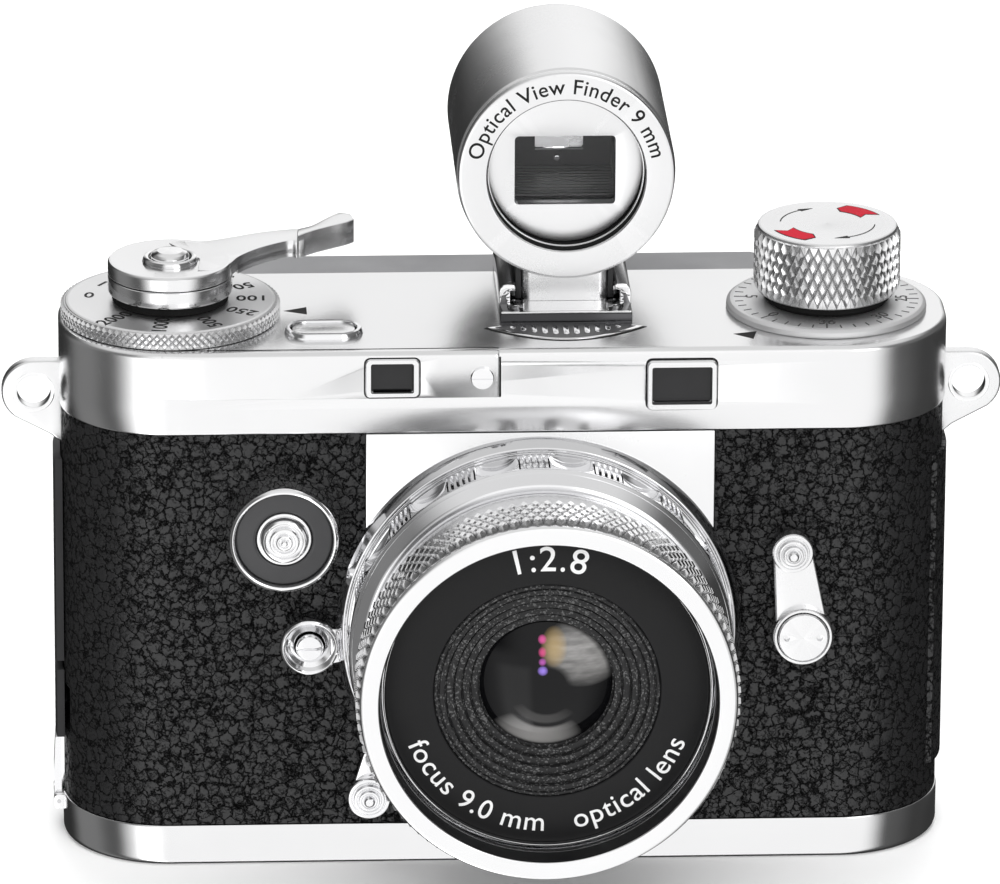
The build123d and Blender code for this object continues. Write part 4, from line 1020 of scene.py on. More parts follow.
def turned_knob(x, z, r, y0, proud):
    s = r / 1.6
    p = [(0, y0), (r, y0), (r, y0 - 0.42 * proud), (r - 0.08, y0 - 0.52 * proud), (1.30 * s, y0 - 0.54 * proud), (1.26 * s, y0 - 0.46 * proud), (1.16 * s, y0 - 0.46 * proud), (1.12 * s, y0 - 0.78 * proud),
         (0.94 * s, y0 - 0.80 * proud), (0.90 * s, y0 - 0.68 * proud), (0.80 * s, y0 - 0.68 * proud), (0.76 * s, y0 - 0.98 * proud), (0.60 * s, y0 - 1.0 * proud), (0.56 * s, y0 - 0.86 * proud), (0.44 * s, y0 - 0.86 * proud),
         (0.40 * s, y0 - 1.12 * proud), (0.28 * s, y0 - 1.2 * proud), (0, y0 - 1.2 * proud)]
    return lathe_vf(p, "y", (x, z), 72, 0.035, 3)


V1, F1 = slab_vf(hull2(LVP, 1.95, LVK, 1.42, 24), -10.1, -9.2, "y", 0.14, 3)
V2, F2 = lathe_vf([(1.9, -9.2), (2.22, -9.2), (2.22, -10.6), (2.12, -10.75), (1.96, -10.75), (1.9, -10.6)], "y", LVP, 80, 0.05, 3)
V3, F3 = turned_knob(*LVK, 1.52, -10.08, 1.25)
V, F = join_vf([(V1, F1), (V2, F2), (V3, F3)])
make("selector_lever_arm", V, F, M["satin_front"], "selector_lever", ("selector_lever",), 30)
cap = lathe("selector_pivot_face", [(0, -9.0), (1.86, -9.0), (1.86, -10.78), (1.78, -10.9), (0, -10.95)], "y", LVP, M["satin_front"], CB, ("selector_pivot_cap",), 80, 0.05, 3, 30)
boolean(cap, [cutter(*lathe_vf([(0, -10.5), (0.24, -10.5), (0.24, -12), (0, -12)], "y", (LVP[0] + s * 1.22, LVP[1]), 24, 0)) for s in (-1, 1)], "DIFFERENCE", 0.02, 30)

V1, F1 = slab_vf(hull2(RWP, 0.78, RWK, 1.35, 20), -9.85, -9.12, "y", 0.12, 3)
V2, F2 = turned_knob(*RWK, 1.6, -9.83, 1.2)
V, F = join_vf([(V1, F1), (V2, F2)])
make("rewind_release_arm", V, F, M["bright"], "rewind_release_lever", ("rewind_release_lever",), 30)

# windows and the small slotted adjuster
for nm, x, z, w, h, iw, ih, y0, y1 in (("window_frame_right", 12.78, 37.75, 5.15, 3.82, 4.33, 2.8, -9.1, -9.62), ("window_frame_left", -8.5, 38.55, 4.0, 3.0, 3.06, 2.2, -9.40, -9.62)):
    o1, oA, oB, o2 = rrect(w, h, 0.42, x, z, 6), rrect(w - 0.16, h - 0.16, 0.36, x, z, 6), rrect(iw + 0.10, ih + 0.10, 0.16, x, z, 6), rrect(iw, ih, 0.1, x, z, 6)
    lvls = [(o1, y0 + 0.3), (o1, y1 + 0.12), (oA, y1), (oB, y1), (o2, y1 + 0.16), (o2, y0 + 0.3)]
    V, F = [], []
    m = len(o1)
    for o, y in lvls:
        V += [(a, y, b) for a, b in o]
    for i in range(len(lvls)):
        i2 = (i + 1) % len(lvls)
        for j in range(m):
            k = (j + 1) % m
            F.append([i * m + j, i * m + k, i2 * m + k, i2 * m + j])
    make(nm, V, F, M["satin"], CB, ("window_frames",) if x > 0 else (), 30)
V1, F1 = slab_vf(rrect(4.33, 2.8, 0.1, 12.78, 37.75, 4), -8.9, -8.3, "y", 0.03, 1)
V2, F2 = slab_vf(rrect(3.06, 2.2, 0.1, -8.5, 38.55, 4), -9.05, -8.3, "y", 0.03, 1)
V3, F3 = slab_vf(rrect(4.85, 3.25, 0.28, 12.78, 37.5, 4), 13.0, 13.7, "y", 0.03, 1)
V, F = join_vf([(V1, F1), (V2, F2), (V3, F3)])
make("window_panes", V, F, M["window"], CB, ("window_glasses",), 30)

# two half-round plugs beside the left window, each in a dark seat of painted shadow
parts, shadow_seats = [], []
for sgn in (-1, 1):
    for dst, rr, y0, y1, bv in ((parts, 0.72, -9.66, -9.2, 0.14), (shadow_seats, 0.86, -9.455, -9.2, 0.0)):
        g = 0.02 if rr > 0.8 else 0.14
        pts = [(-1.9 + rr * cos(radians(a)), 38.48 + sgn * (g + 0.88 * rr * sin(radians(a)))) for a in range(0, 181, 12)]
        if sgn < 0:
            pts = pts[::-1]
        dst.append(slab_vf(pts, y0, y1, "y", bv, 3))
V, F = join_vf(parts)
make("adjuster_plug", V, F, M["bright"], CB, (), 30)
V, F = join_vf(shadow_seats)
make("adjuster_painted_shadow_seat", V, F, M["gap"], CB, (), 30)

# ============================================================================= strap lugs
for s, nm in ((-1, "lug_left"), (1, "lug_right")):
    hx, hz, r = 34.75, 34.6, 2.4
    pts = [(32.2, 37.0), (hx, 37.0)]
    for i in range(1, 25):
        a = radians(90 - 143 * i / 24)
        pts.append((hx + r * cos(a), hz + r * sin(a)))
    pts += [(33.6, 31.3), (32.9, 30.7), (32.2, 30.4)]
    pts = [(s * a, b) for a, b in pts]
    ob = slab(nm, pts, -0.58, 0.58, "y", M["satin_front"], CB, ("strap_lugs",) if s > 0 else (), 0.18, 4, 32)
    boolean(ob, [cutter(*lathe_vf([(0, -3), (1.25, -3), (1.25, 3), (0, 3)], "y", (s * hx, hz), 48, 0))], "DIFFERENCE", 0.0, 32)
    lathe(nm + "_eyelet", [(1.24, -0.42), (1.24, 0.42), (1.30, 0.56), (1.46, 0.60), (1.55, 0.58), (1.55, -0.58), (1.46, -0.60), (1.30, -0.56)], "y", (s * hx, hz), M["mirror"], CB, (), 64, 0.03, 3, 30)

# ============================================================================= top plate: speed dial, lever hub, shutter button
lathe("speed_dial_disc", [(2.6, 40.54), (7.6, 40.54), (7.8, 40.6), (7.8, 41.66), (7.84, 41.72), (7.72, 41.82), (7.55, 41.86), (3.4, 41.86), (3.4, 41.95), (2.6, 41.95)], "z", DIAL, M["dial"], "speed_dial", ("speed_dial",), 220, 0.04, 3, 28)
V, F = knurl_vf("z", DIAL, 40.56, 41.78, 7.88, 8.12, 92, 2, 0.50, 7.4)
make("speed_dial_knurl", V, F, M["dial_knurl"], "speed_dial", (), 20, smooth=False)


def radial_text(items, c, z, depth=0.015):
    """Flat figures on a dial. items: (text, size, radius of the middle, angle, run): run 'in' reads towards the centre, 'round' reads with feet outwards."""
    parts = []
    for s, size, r, a, run, bold in items:
        V, F = text_vf(s, size, depth, bold, "CENTER", 1.05)
        t = radians(a)
        if run == "in":
            ex, ey = (-cos(t), -sin(t)), (sin(t), -cos(t))
            ey = (-ex[1], ex[0])
        elif run == "round":
            ey = (-cos(t), -sin(t))
            ex = (ey[1], -ey[0])
        else:
            ey = (cos(t), sin(t))
            ex = (ey[1], -ey[0])
        parts.append(([(c[0] + r * cos(t) + x * ex[0] + y * ey[0], c[1] + r * sin(t) + x * ex[1] + y * ey[1], z + h) for x, y, h in V], F))
    return join_vf(parts)


nums = [("50", 26), ("100", -1), ("250", -30), ("500", -62), ("1000", -97), ("2000", -133), ("0", 172), ("1", 146), ("2", 120), ("4", 96), ("8", 72), ("25", 49)]
V, F = radial_text([(t, 1.55, 6.05, a, "in", 0.018) for t, a in nums], DIAL, 41.865, 0.012)
make("speed_dial_figures", V, F, M["ink"], "speed_dial", (), 30)

lathe("lever_collar_shell", [(2.0, 42.5), (4.44, 42.5), (4.56, 42.56), (4.6, 42.68), (4.6, 43.74), (4.52, 43.80), (2.0, 43.84)], "z", DIAL, M["hubside"], CB, ("lever_collar",), 160, 0.04, 3, 30)
# dark neck under the collar and dark line at the parting: painted shadow
lathe("lever_collar_painted_shadow_neck", [(2.0, 41.5), (4.2, 41.88), (4.3, 41.94), (4.3, 42.44), (4.44, 42.49), (4.44, 42.56), (2.0, 42.56)], "z", DIAL, M["gap"], CB, (), 128, 0.03, 2, 30)
lathe("lever_painted_shadow_line", [(2.0, 43.80), (4.50, 43.80), (4.50, 43.92), (2.0, 43.92)], "z", DIAL, M["gap"], CB, (), 128, 0.01, 1, 30)
lathe("button_rim", [(1.48, 43.9), (2.02, 43.9), (2.02, 45.0), (1.94, 45.16), (1.80, 45.22), (1.62, 45.16), (1.48, 44.95)], "z", DIAL, M["mirror"], CB, (), 96, 0.04, 3, 30)
lathe("shutter_button_cap", [(0, 44.0), (1.42, 44.0), (1.42, 45.24, 0.1), (1.26, 45.46), (0.95, 45.60), (0.5, 45.68), (0, 45.70)], "z", DIAL, M["mirror"], "shutter_button", ("shutter_button",), 96, 0.03, 3, 40)

# advance lever: hub disc, arm and thumb piece
hub_prof = [(2.05, 43.86), (4.52, 43.86), (4.6, 43.94), (4.6, 44.78), (4.50, 44.92), (4.36, 44.95), (4.2, 44.94), (2.4, 44.80), (2.05, 44.82)]
V1, F1 = lathe_vf(hub_prof, "z", DIAL, 160, 0.03, 3)


def spline(pts, per=8):
    """Catmull-Rom through 2D points."""
    out = []
    n = len(pts)
    for i in range(n - 1):
        p0, p1, p2, p3 = pts[max(0, i - 1)], pts[i], pts[i + 1], pts[min(n - 1, i + 2)]
        for j in range(per):
            t = j / per
            out.append(tuple(0.5 * ((2 * p1[a]) + (-p0[a] + p2[a]) * t + (2 * p0[a] - 5 * p1[a] + 4 * p2[a] - p3[a]) * t * t + (-p0[a] + 3 * p1[a] - 3 * p2[a] + p3[a]) * t ** 3) for a in range(2)))
    out.append(pts[-1])
    return out


front = spline([(-21.3, -3.5), (-20.2, -1.74), (-19.5, -0.17), (-18.28, 1.39), (-17.14, 2.38), (-16.09, 3.1), (-15.6, 3.3), (-15.36, 3.3), (-15.2, 3.05)])
tipo = [(-14.6, 3.3), (-14.2, 5.4)]
back = spline([(-14.6, 5.9), (-15.55, 5.95), (-17.81, 5.3), (-20.07, 4.2), (-22.09, 3.4), (-23.6, 3.6)])
outline = front + tipo + back + [(-24.6, 3.0), (-22.4, -0.6), (-22.6, -3.2)]
V2, F2 = slab_vf(outline, 43.9, 44.93, "z", 0.10, 3)
web = [p for p in front if hypot(p[0] - DIAL[0], p[1] - DIAL[1]) > 4.9] + tipo + [p for p in back if hypot(p[0] - DIAL[0], p[1] - DIAL[1]) > 5.2] + [(-20.6, 3.6), (-19.75, 1.5)]
V4, F4 = slab_vf(web, 43.62, 44.3, "z", 0.06, 2)
# thumb piece: raised block stepping forward from the arm, its top falling towards the arm
fo = spline([(-15.14, 3.0), (-14.0, 3.98), (-12.63, 4.78), (-11.5, 5.35), (-10.8, 5.87)], 5)
bo = spline([(-15.0, 5.9), (-13.95, 6.1), (-12.85, 7.25), (-11.85, 8.1), (-11.0, 7.5)], 5)
n = len(fo)
V, F = [], []
for i in range(n):
    t = i / (n - 1)
    a, b = Vector(fo[i]), Vector(bo[i])
    top, bot = 45.38 + 0.34 * t, 43.52 + 0.34 * t
    d = b - a
    drop = 0.30 * (1 - t) ** 2
    V += [(a.x, a.y, bot), (a.x, a.y, top), (*(a + d * 0.35), top - 0.04), (*(a + d * 0.7), top - 0.10 - drop * 0.5), (b.x, b.y, top - 0.16 - drop), (b.x, b.y, bot)]
m = 6
for i in range(n - 1):
    for j in range(m):
        k = (j + 1) % m
        F.append([i * m + j, i * m + k, (i + 1) * m + k, (i + 1) * m + j])
F.append(list(range(m)))
F.append([(n - 1) * m + j for j in range(m)])
thumb = make("thumb_blank", V, F, M["satin"], "advance_lever", (), 30)
tb = bmesh.new()
tb.from_mesh(thumb.data)
es = [e for e in tb.edges if len(e.link_faces) == 2 and e.calc_face_angle(0) > radians(50)]
bmesh.ops.bevel(tb, geom=es, offset=0.13 * MM, offset_type="OFFSET", segments=3, profile=0.5, affect="EDGES", clamp_overlap=True)
V3 = [(v.co.x / MM, v.co.y / MM, v.co.z / MM) for v in tb.verts]
tb.verts.index_update()
F3 = [[v.index for v in f.verts] for f in tb.faces]
tb.free()
old = thumb.data
bpy.data.objects.remove(thumb)
bpy.data.meshes.remove(old)
V, F = join_vf([(V2, F2), (V3, F3), (V4, F4)])
make("advance_lever_arm", V, F, M["satin"], "advance_lever", ("advance_lever",), 30)
make("advance_lever_hub", V1, F1, M["hub"], "advance_lever", (), 28)

# index triangles, filled with ink
V1, F1 = slab_vf([(-16.2, 0.15), (-14.5, -0.65), (-14.5, 0.95)], H - 0.01, H + 0.012, "z", 0)
V2, F2 = slab_vf([(16.75, -6.0), (18.15, -7.15), (18.5, -5.5)], H - 0.01, H + 0.012, "z", 0)
V, F = join_vf([(V1, F1), (V2, F2)])
make("index_triangles", V, F, M["ink"], CB, (), 30)

# ============================================================================= frame dial and rewind knob
lathe("frame_dial_disc", [(1.4, 40.51), (6.9, 40.51), (7.36, 40.52), (7.44, 40.66, 0.1), (7.4, 40.96, 0.1), (7.15, 41.14, 0.1), (6.9, 41.2), (1.4, 41.24)], "z", KNOB, M["fdial"], "frame_dial", ("frame_dial",), 220, 0.05, 4, 30)
parts = []
for i in range(40):
    a = radians(-8 - 90 + 4 + 9 * i)
    L = 0.62 if i % 5 else 0.95
    r1 = 6.85
    ex, ey = (cos(a), sin(a)), (-sin(a), cos(a))
    w = 0.05 if i % 5 else 0.06
    q = [(r1 - L, -w), (r1, -w), (r1, w), (r1 - L, w)]
    parts.append(slab_vf([(KNOB[0] + u * ex[0] + v * ey[0], KNOB[1] + u * ex[1] + v * ey[1]) for u, v in q], 41.19, 41.222, "z", 0))
for i, t in enumerate(("36", "0", "5", "10", "15", "20", "25", "30")):
    a = -94 - 45 * i
    parts.append(radial_text([(t, 1.3, 5.6, a, "round", 0.0)], KNOB, 41.222, 0.012))
V, F = join_vf(parts)
make("frame_dial_figures", V, F, M["greyink"], "frame_dial", (), 30)

# dark ring under the knob: painted shadow
lathe("rewind_knob_painted_shadow_undercut", [(0, 41.26), (4.5, 41.26), (4.7, 41.5), (4.75, 41.98), (0, 41.98)], "z", KNOB, M["gap"], "rewind_knob", (), 128, 0.03, 2, 30)
lathe("rewind_knob_core", [(0, 41.95), (4.95, 41.95), (5.12, 42.05), (5.12, 46.7), (5.2, 46.86), (5.12, 47.0), (4.98, 47.04), (0, 47.04)], "z", KNOB, M["knobtop"], "rewind_knob", ("rewind_knob",), 180, 0.05, 3, 30)
V, F = knurl_vf("z", KNOB, 42.0, 46.84, 5.12, 5.43, 46, 3, 0.42, 4.8)
make("rewind_knob_knurl", V, F, M["knob_knurl"], "rewind_knob", (), 20, smooth=False)
# red inlays with pointed and notched ends, lying in shallow pockets with dark borders
parts, rims = [], []
for a0 in (45, 222):
    for dst, g, z0, z1 in ((parts, 0.0, 47.0, 47.062), (rims, 0.09, 47.0, 47.052)):
        outer, inner = [], []
        n = 12
        ga = degrees(g / 3.5)
        for i in range(n + 1):
            t = i / n
            outer.append((4.28 + g, a0 - 20 - ga + (40 + 2 * ga) * t))
            inner.append((2.85 - g, a0 - 20 - ga + (40 + 2 * ga) * t))
        poly = outer + [(3.5, a0 + 28 + ga)] + inner[::-1] + [(3.5, a0 - 12 - ga)]
        dst.append(slab_vf([(KNOB[0] + r * cos(radians(a)), KNOB[1] + r * sin(radians(a))) for r, a in poly], z0, z1, "z", 0))
V, F = join_vf(parts)
make("knob_red_inlays", V, F, M["red"], "rewind_knob", (), 30)
V, F = join_vf(rims)
make("knob_inlay_borders", V, F, M["ink"], "rewind_knob", (), 30)
parts = []
for a_s, a_e in ((172, 122), (352, 292)):
    rm = 3.5
    pts = [(rm + 0.045, a_s + (a_e - a_s) * i / 14) for i in range(15)]
    pin = [(rm - 0.045, a_s + (a_e - a_s) * i / 14) for i in range(15)]
    head = [(rm + 0.26, a_e), (rm, a_e - 18), (rm - 0.26, a_e)]
    poly = pts + head + pin[::-1]
    parts.append(slab_vf([(KNOB[0] + r * cos(radians(a)), KNOB[1] + r * sin(radians(a))) for r, a in poly], 47.0, 47.056, "z", 0))
V, F = join_vf(parts)
make("knob_arrows", V, F, M["ink"], "rewind_knob", (), 30)

# ============================================================================= accessory shoe, plain badge
sx0, sx1 = SHOE_X - 4.9, SHOE_X + 4.9
# shoe floor in near-black chrome: painted shade under the rails
V, F = slab_vf([(-3.05, H - 0.02), (9.0, H - 0.02), (9.0, 41.2), (-2.66, 41.2), (-2.84, 41.1)], sx0 + 0.02, sx1 - 0.02, "x", 0.05, 2)
make("accessory_shoe_floor", V, F, M["dark_chrome"], CB, ("accessory_shoe",), 30)
slab("accessory_shoe_pad", rrect(6.3, 11.2, 0.2, SHOE_X, 3.05, 4), 41.16, 41.245, "z", M["satin"], CB, (), 0.02, 1, 30)
V, F = slab_vf([(sx0 + 0.12, 41.14), (sx1 - 0.12, 41.14), (sx1 - 0.05, 41.2), (sx1 - 0.12, 41.26), (sx0 + 0.12, 41.26), (sx0 + 0.05, 41.2)], -2.86, -2.66, "y", 0.04, 2)
make("accessory_shoe_lip", V, F, M["mirror"], CB, (), 30)
parts = []
for s in (-1, 1):
    xo = SHOE_X + s * 4.9
    prof = [(xo, 41.0), (xo, 42.1), (xo - s * 0.10, 42.45), (xo - s * 0.34, 42.70), (xo - s * 0.62, 42.75), (xo - s * 1.1, 42.72), (xo - s * 1.22, 42.6), (xo - s * 1.22, 42.3), (xo - s * 0.84, 42.22), (xo - s * 0.84, 41.0)]
    parts.append(slab_vf(prof if s < 0 else prof[::-1], -0.9, 8.9, "y", 0.26, 4, 40))
V, F = join_vf(parts)
make("accessory_shoe_rails", V, F, M["mirror"], CB, (), 30)


def lens_outline(hw, y0, y1, n=24):
    """Boat-shaped outline between two shallow arcs meeting in points."""
    top = [(SHOE_X - 0.14 + hw * (-1 + 2 * i / n), -4.2 + (y1 + 4.2) * (1 - (-1 + 2 * i / n) ** 2)) for i in range(n + 1)]
    bot = [(SHOE_X - 0.14 + hw * (1 - 2 * i / n), -4.2 + (y0 + 4.2) * (1 - (1 - 2 * i / n) ** 2)) for i in range(1, n)]
    return (top + bot)[::-1]


slab("blank_badge_seat", lens_outline(6.0, -7.15, -3.22), H - 0.02, H + 0.03, "z", M["ink"], CB, (), 0, 1, 30)
slab("blank_badge_rim", lens_outline(5.72, -7.0, -3.3), H - 0.02, H + 0.09, "z", M["mirror"], CB, (), 0.03, 2, 30)
slab("blank_badge_field", lens_outline(5.2, -6.72, -3.4), H - 0.02, H + 0.10, "z", M["badge"], CB, (), 0, 1, 30)
parts = []
for i in range(11):
    u = -1 + 2 * i / 10
    parts.append(slab_vf(rrect(0.40, 1.0 + 1.0 * (1 - u * u), 0.16, SHOE_X - 0.14 + 3.9 * u, -4.15 - 0.85 * (1 - u * u), 4), H + 0.09, H + 0.14, "z", 0.02))
V, F = join_vf(parts)
make("blank_badge_ribs", V, F, M["bright"], CB, (), 30)

# ============================================================================= clip-on finder
FB = "clip_on_finder"
foot = [slab_vf(rrect(7.9, 8.2, 0.3, SHOE_X, 4.6, 4), 41.32, 42.08, "z", 0.1, 2)]
# near-black slabs between the rail lips and the foot neck: painted shadow of the shoe slot
for s in (-1, 1):
    V, F = slab_vf(rrect(0.44, 8.3, 0.08, SHOE_X + s * 3.42, 4.3, 3), 41.3, 44.4, "z", 0.04, 2)
    make("finder_foot_shadow_slab_" + ("a" if s < 0 else "b"), V, F, M["plastic"], FB, (), 30)
x_n, y_a, y_b = 3.18, -0.3, 8.4
nv = []
for z in (41.26, 42.0, 43.0, 43.5, 43.82):
    flare = 0.0
    nv.append((rrect(2 * (x_n + flare), y_b - y_a + flare, 0.7, SHOE_X, (y_a + y_b) / 2, 6), z))
V, F = [], []
m = len(nv[0][0])
for o, z in nv:
    V += [(a, b, z) for a, b in o]
for i in range(len(nv) - 1):
    for j in range(m):
        k = (j + 1) % m
        F.append([i * m + j, i * m + k, (i + 1) * m + k, (i + 1) * m + j])
F.append(list(range(m)))
F.append([(len(nv) - 1) * m + j for j in range(m)])
V, F = join_vf(foot + [(V, F)])
make("finder_foot_block", V, F, M["face"], FB, (), 30)
lathe("finder_barrel_tube", [(7.15, 0.02), (7.85, 0.02), (7.98, 0.06), (8.1, 0.25), (8.1, 15.7), (8.0, 16.1), (7.6, 16.5), (7.15, 16.5)], "y", FND, M["alloy"], FB, ("finder_barrel",), 220, 0.06, 3, 30)
lathe("finder_face", [(5.86, 1.5), (5.86, -0.72), (5.94, -0.8), (7.78, -0.8), (7.93, -0.76), (8.0, -0.6), (8.0, -0.12), (7.9, -0.02), (7.1, -0.02), (7.1, 1.5)], "y", FND, M["face"], FB, ("finder_face_ring",), 220, 0.05, 3, 30)
# dark liner on the bore wall: painted shadow
lathe("finder_bore_painted_shadow_wall", [(5.80, -0.50), (5.86, -0.58), (5.9, -0.4), (5.9, 2.0), (5.80, 2.0)], "y", FND, M["gap"], FB, (), 160, 0.02, 2, 30)
lathe("finder_bore_line", [(5.70, 0.30), (5.74, 0.16), (5.84, 0.16), (5.84, 0.36), (5.72, 0.36)], "y", FND, M["mirror"], FB, (), 160, 0.02, 2, 30)
mask = lathe("finder_mask_disc", [(0, 1.25), (5.70, 1.25), (5.78, 1.32), (5.78, 2.06), (6.9, 2.06), (6.9, 2.4), (0, 2.4)], "y", FND, M["face"], FB, ("finder_mask",), 160, 0.05, 3, 30)
boolean(mask, [cutter(*slab_vf(rrect(7.47, 5.3, 0.32, FND[0], FND[1] - 0.19, 5), 0, 3, "y", 0))], "DIFFERENCE", 0.05, 30)

# ribbed light baffle behind the mask, closed by a plate with the eye opening
fx, fz = FND
hw, hh, ye = 4.05, 2.80, 10.0
levels = []
nr = 11
for i in range(nr):
    y0 = 2.98 + (ye - 2.98) * i / nr
    y1 = 2.98 + (ye - 2.98) * (i + 1) / nr
    for y, k in ((y0, 0.0), (y0 + 0.28 * (y1 - y0), 0.0), (y0 + 0.34 * (y1 - y0), 0.16), (y0 + 0.95 * (y1 - y0), 0.16)):
        levels.append((y, hw - k, hh - k))
levels += [(ye, hw - 0.16, hh - 0.16), (ye, 1.8, 1.45), (ye + 0.7, 1.9, 1.55), (ye + 0.7, 4.5, 3.4), (2.98, 4.5, 3.4)]
V, F = [], []
for y, a, b_ in levels:
    V += [(fx - a, y, fz - b_), (fx + a, y, fz - b_), (fx + a, y, fz + b_), (fx - a, y, fz + b_)]
L = len(levels)
for i in range(L):
    i2 = (i + 1) % L
    for j in range(4):
        k = (j + 1) % 4
        F.append([i * 4 + j, i * 4 + k, i2 * 4 + k, i2 * 4 + j])
make("finder_light_baffle", V, F, M["plastic"], FB, ("finder_baffle",), 25, smooth=False)
V, F = lathe_vf([(0, ye - 0.16), (0.2, ye - 0.14), (0.3, ye - 0.02), (0.3, ye + 0.1), (0, ye + 0.1)], "y", (fx - 0.15, fz - 2.08), 32, 0.02, 2)
slab("finder_eye_glass_inner", rrect(3.7, 2.95, 0.2, fx, fz, 4), ye + 0.72, ye + 1.0, "y", M["frost"], FB, (), 0.03, 2, 30)
make("finder_plate_rivet", V, F, M["mirror"], FB, (), 30)
V1, F1 = slab_vf(rrect(8.6, 6.4, 0.5, fx, fz, 5), 2.45, 2.95, "y", 0.05, 1)
V2, F2 = dome(2.85, 14.4, 15.2, 0.0, 0.25, FND)
V, F = join_vf([(V1, F1), (V2, F2)])
make("finder_glasses", V, F, M["finder_glass"], FB, ("finder_lenses",), 30)
lathe("finder_eyecup_ring", [(2.95, 14.32), (7.05, 14.32), (7.05, 16.0), (6.9, 16.45), (6.4, 16.68), (4.6, 16.68), (4.2, 16.5), (3.2, 15.5), (2.95, 15.3)], "y", FND, M["plastic"], FB, ("finder_eyecup",), 160, 0.08, 3, 30)

V, F = arc_text([("Optical View Finder 9 mm", 1.62, 6.88, 0, True, 0.012, 1.08)], FND, -0.805, 0.010)
make("finder_ring_figures", V, F, M["ink"], FB, (), 30)

# ============================================================================= back housing, display, keys
hx0, hx1, hy, hz0, hz1 = -19.6, 19.8, 13.8, 3.35, 40.2
cxh, czh = (hx0 + hx1) / 2, (hz0 + hz1) / 2
V, F = slab_vf(rrect(hx1 - hx0, hz1 - hz0, 0.4, cxh, czh, 3), 9.0, hy, "y", 0, 2)
hous = make("back_housing_shell", V, F, M["grey"], CB, ("back_housing",), 25)
tb = bmesh.new()
tb.from_mesh(hous.data)
es = [e for e in tb.edges if all(abs(v.co.y - hy * MM) < 1e-6 for v in e.verts)]
bmesh.ops.bevel(tb, geom=es, offset=1.1 * MM, offset_type="OFFSET", segments=5, profile=0.5, affect="EDGES", clamp_overlap=True)
tb.to_mesh(hous.data)
tb.free()
hous.modifiers.clear()
tools = [cutter(*slab_vf(rrect(31.0, 23.9, 0.6, -2.0, 19.15, 5), 12.95, 15, "y", 0)), cutter(*slab_vf(rrect(4.9, 3.3, 0.3, 12.78, 37.5, 4), 12.9, 15, "y", 0))]
for z in (10.0, 15.8, 21.6, 27.4):
    tools.append(cutter(*lathe_vf([(0, 12.6), (1.45, 12.6), (1.45, 15), (0, 15)], "y", (16.55, z), 48, 0)))
boolean(hous, tools, "DIFFERENCE", 0.06, 25)
for p in hous.data.polygons:
    if p.area > 1e-6 and max(abs(c) for c in p.normal) > 0.999:
        p.use_smooth = False
slab("display_pane", rrect(30.8, 23.7, 0.5, -2.0, 19.15, 5), 12.9, 13.72, "y", M["display"], CB, ("display_window",), 0.08, 2, 30)
slab("display_active_area", rrect(26.4, 19.8, 0.2, -2.0, 19.3, 3), 13.70, 13.735, "y", plastic("display_screen", (0.030, 0.034, 0.040), 0.12, 0.05, 9000, 0.6), CB, (), 0.0, 1, 30)
o1, oA, oB, o2 = rrect(6.4, 4.6, 0.9, 12.78, 37.5, 6), rrect(6.1, 4.3, 0.8, 12.78, 37.5, 6), rrect(4.4, 2.9, 0.4, 12.78, 37.5, 6), rrect(4.1, 2.6, 0.3, 12.78, 37.5, 6)
lvls = [(o1, 13.6), (o1, 14.45), (oA, 14.6), (oB, 14.6), (o2, 14.4), (o2, 13.6)]
V, F = [], []
m = len(o1)
for o, y in lvls:
    V += [(a, y, b) for a, b in o]
for i in range(len(lvls)):
    i2 = (i + 1) % len(lvls)
    for j in range(m):
        k = (j + 1) % m
        F.append([i * m + j, i * m + k, i2 * m + k, i2 * m + j])
make("eyepiece_rim", V, F, M["plastic"], CB, (), 30)
for i, z in enumerate((10.0, 15.8, 21.6, 27.4)):
    lathe("key_cap_%d" % (i + 1), [(0, 12.0), (1.3, 12.0), (1.3, 14.1, 0.12), (1.15, 14.22), (0, 14.14)], "y", (16.55, z), M["plastic"], "key_%d" % (i + 1), ("key_%d" % (i + 1),), 64, 0.06, 3, 30)

# ============================================================================= stage, light, camera
fm = Nt("studio_floor")
n0 = fm.noise(fm.co, 6, 3)
fm.set(color=fm.mix(n0, (0.93, 0.93, 0.93), (0.95, 0.95, 0.95)), rough=0.75, spec=0.2)
me = bpy.data.meshes.new("floor")
me.from_pydata([(-6, -6, 0), (6, -6, 0), (6, 6, 0), (-6, 6, 0)], [], [[0, 1, 2, 3]])
floor = bpy.data.objects.new("floor", me)
COL.objects.link(floor)
floor.data.materials.append(fm.m)
floor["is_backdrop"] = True

world = bpy.data.worlds.new("studio")
SC.world = world
world.use_nodes = True
wt = world.node_tree
wt.nodes.clear()


def wn(kind, **k):
    x = wt.nodes.new(kind)
    for a, v in k.items():
        setattr(x, a, v)
    return x


def wm(op, a, b=None, clamp=False):
    x = wn("ShaderNodeMath", operation=op, use_clamp=clamp)
    for i, v in enumerate((a, b)):
        if v is None:
            continue
        if isinstance(v, (int, float)):
            x.inputs[i].default_value = v
        else:
            wt.links.new(v, x.inputs[i])
    return x.outputs[0]


wo = wn("ShaderNodeOutputWorld")
bg = wn("ShaderNodeBackground")
wt.links.new(bg.outputs[0], wo.inputs[0])
tc = wn("ShaderNodeTexCoord")
sp = wn("ShaderNodeSeparateXYZ")
wt.links.new(tc.outputs["Generated"], sp.inputs[0])
X_, Y_, Z_ = sp.outputs


def glow(d, width, gain):
    """Soft patch of light around a direction."""
    d = Vector(d).normalized()
    dot = wm("ADD", wm("ADD", wm("MULTIPLY", X_, d.x), wm("MULTIPLY", Y_, d.y)), wm("MULTIPLY", Z_, d.z))
    c = math.cos(radians(width))
    v = wm("DIVIDE", wm("SUBTRACT", dot, c), 1 - c, clamp=True)
    v = wm("POWER", v, 0.6)
    return wm("MULTIPLY", v, gain)


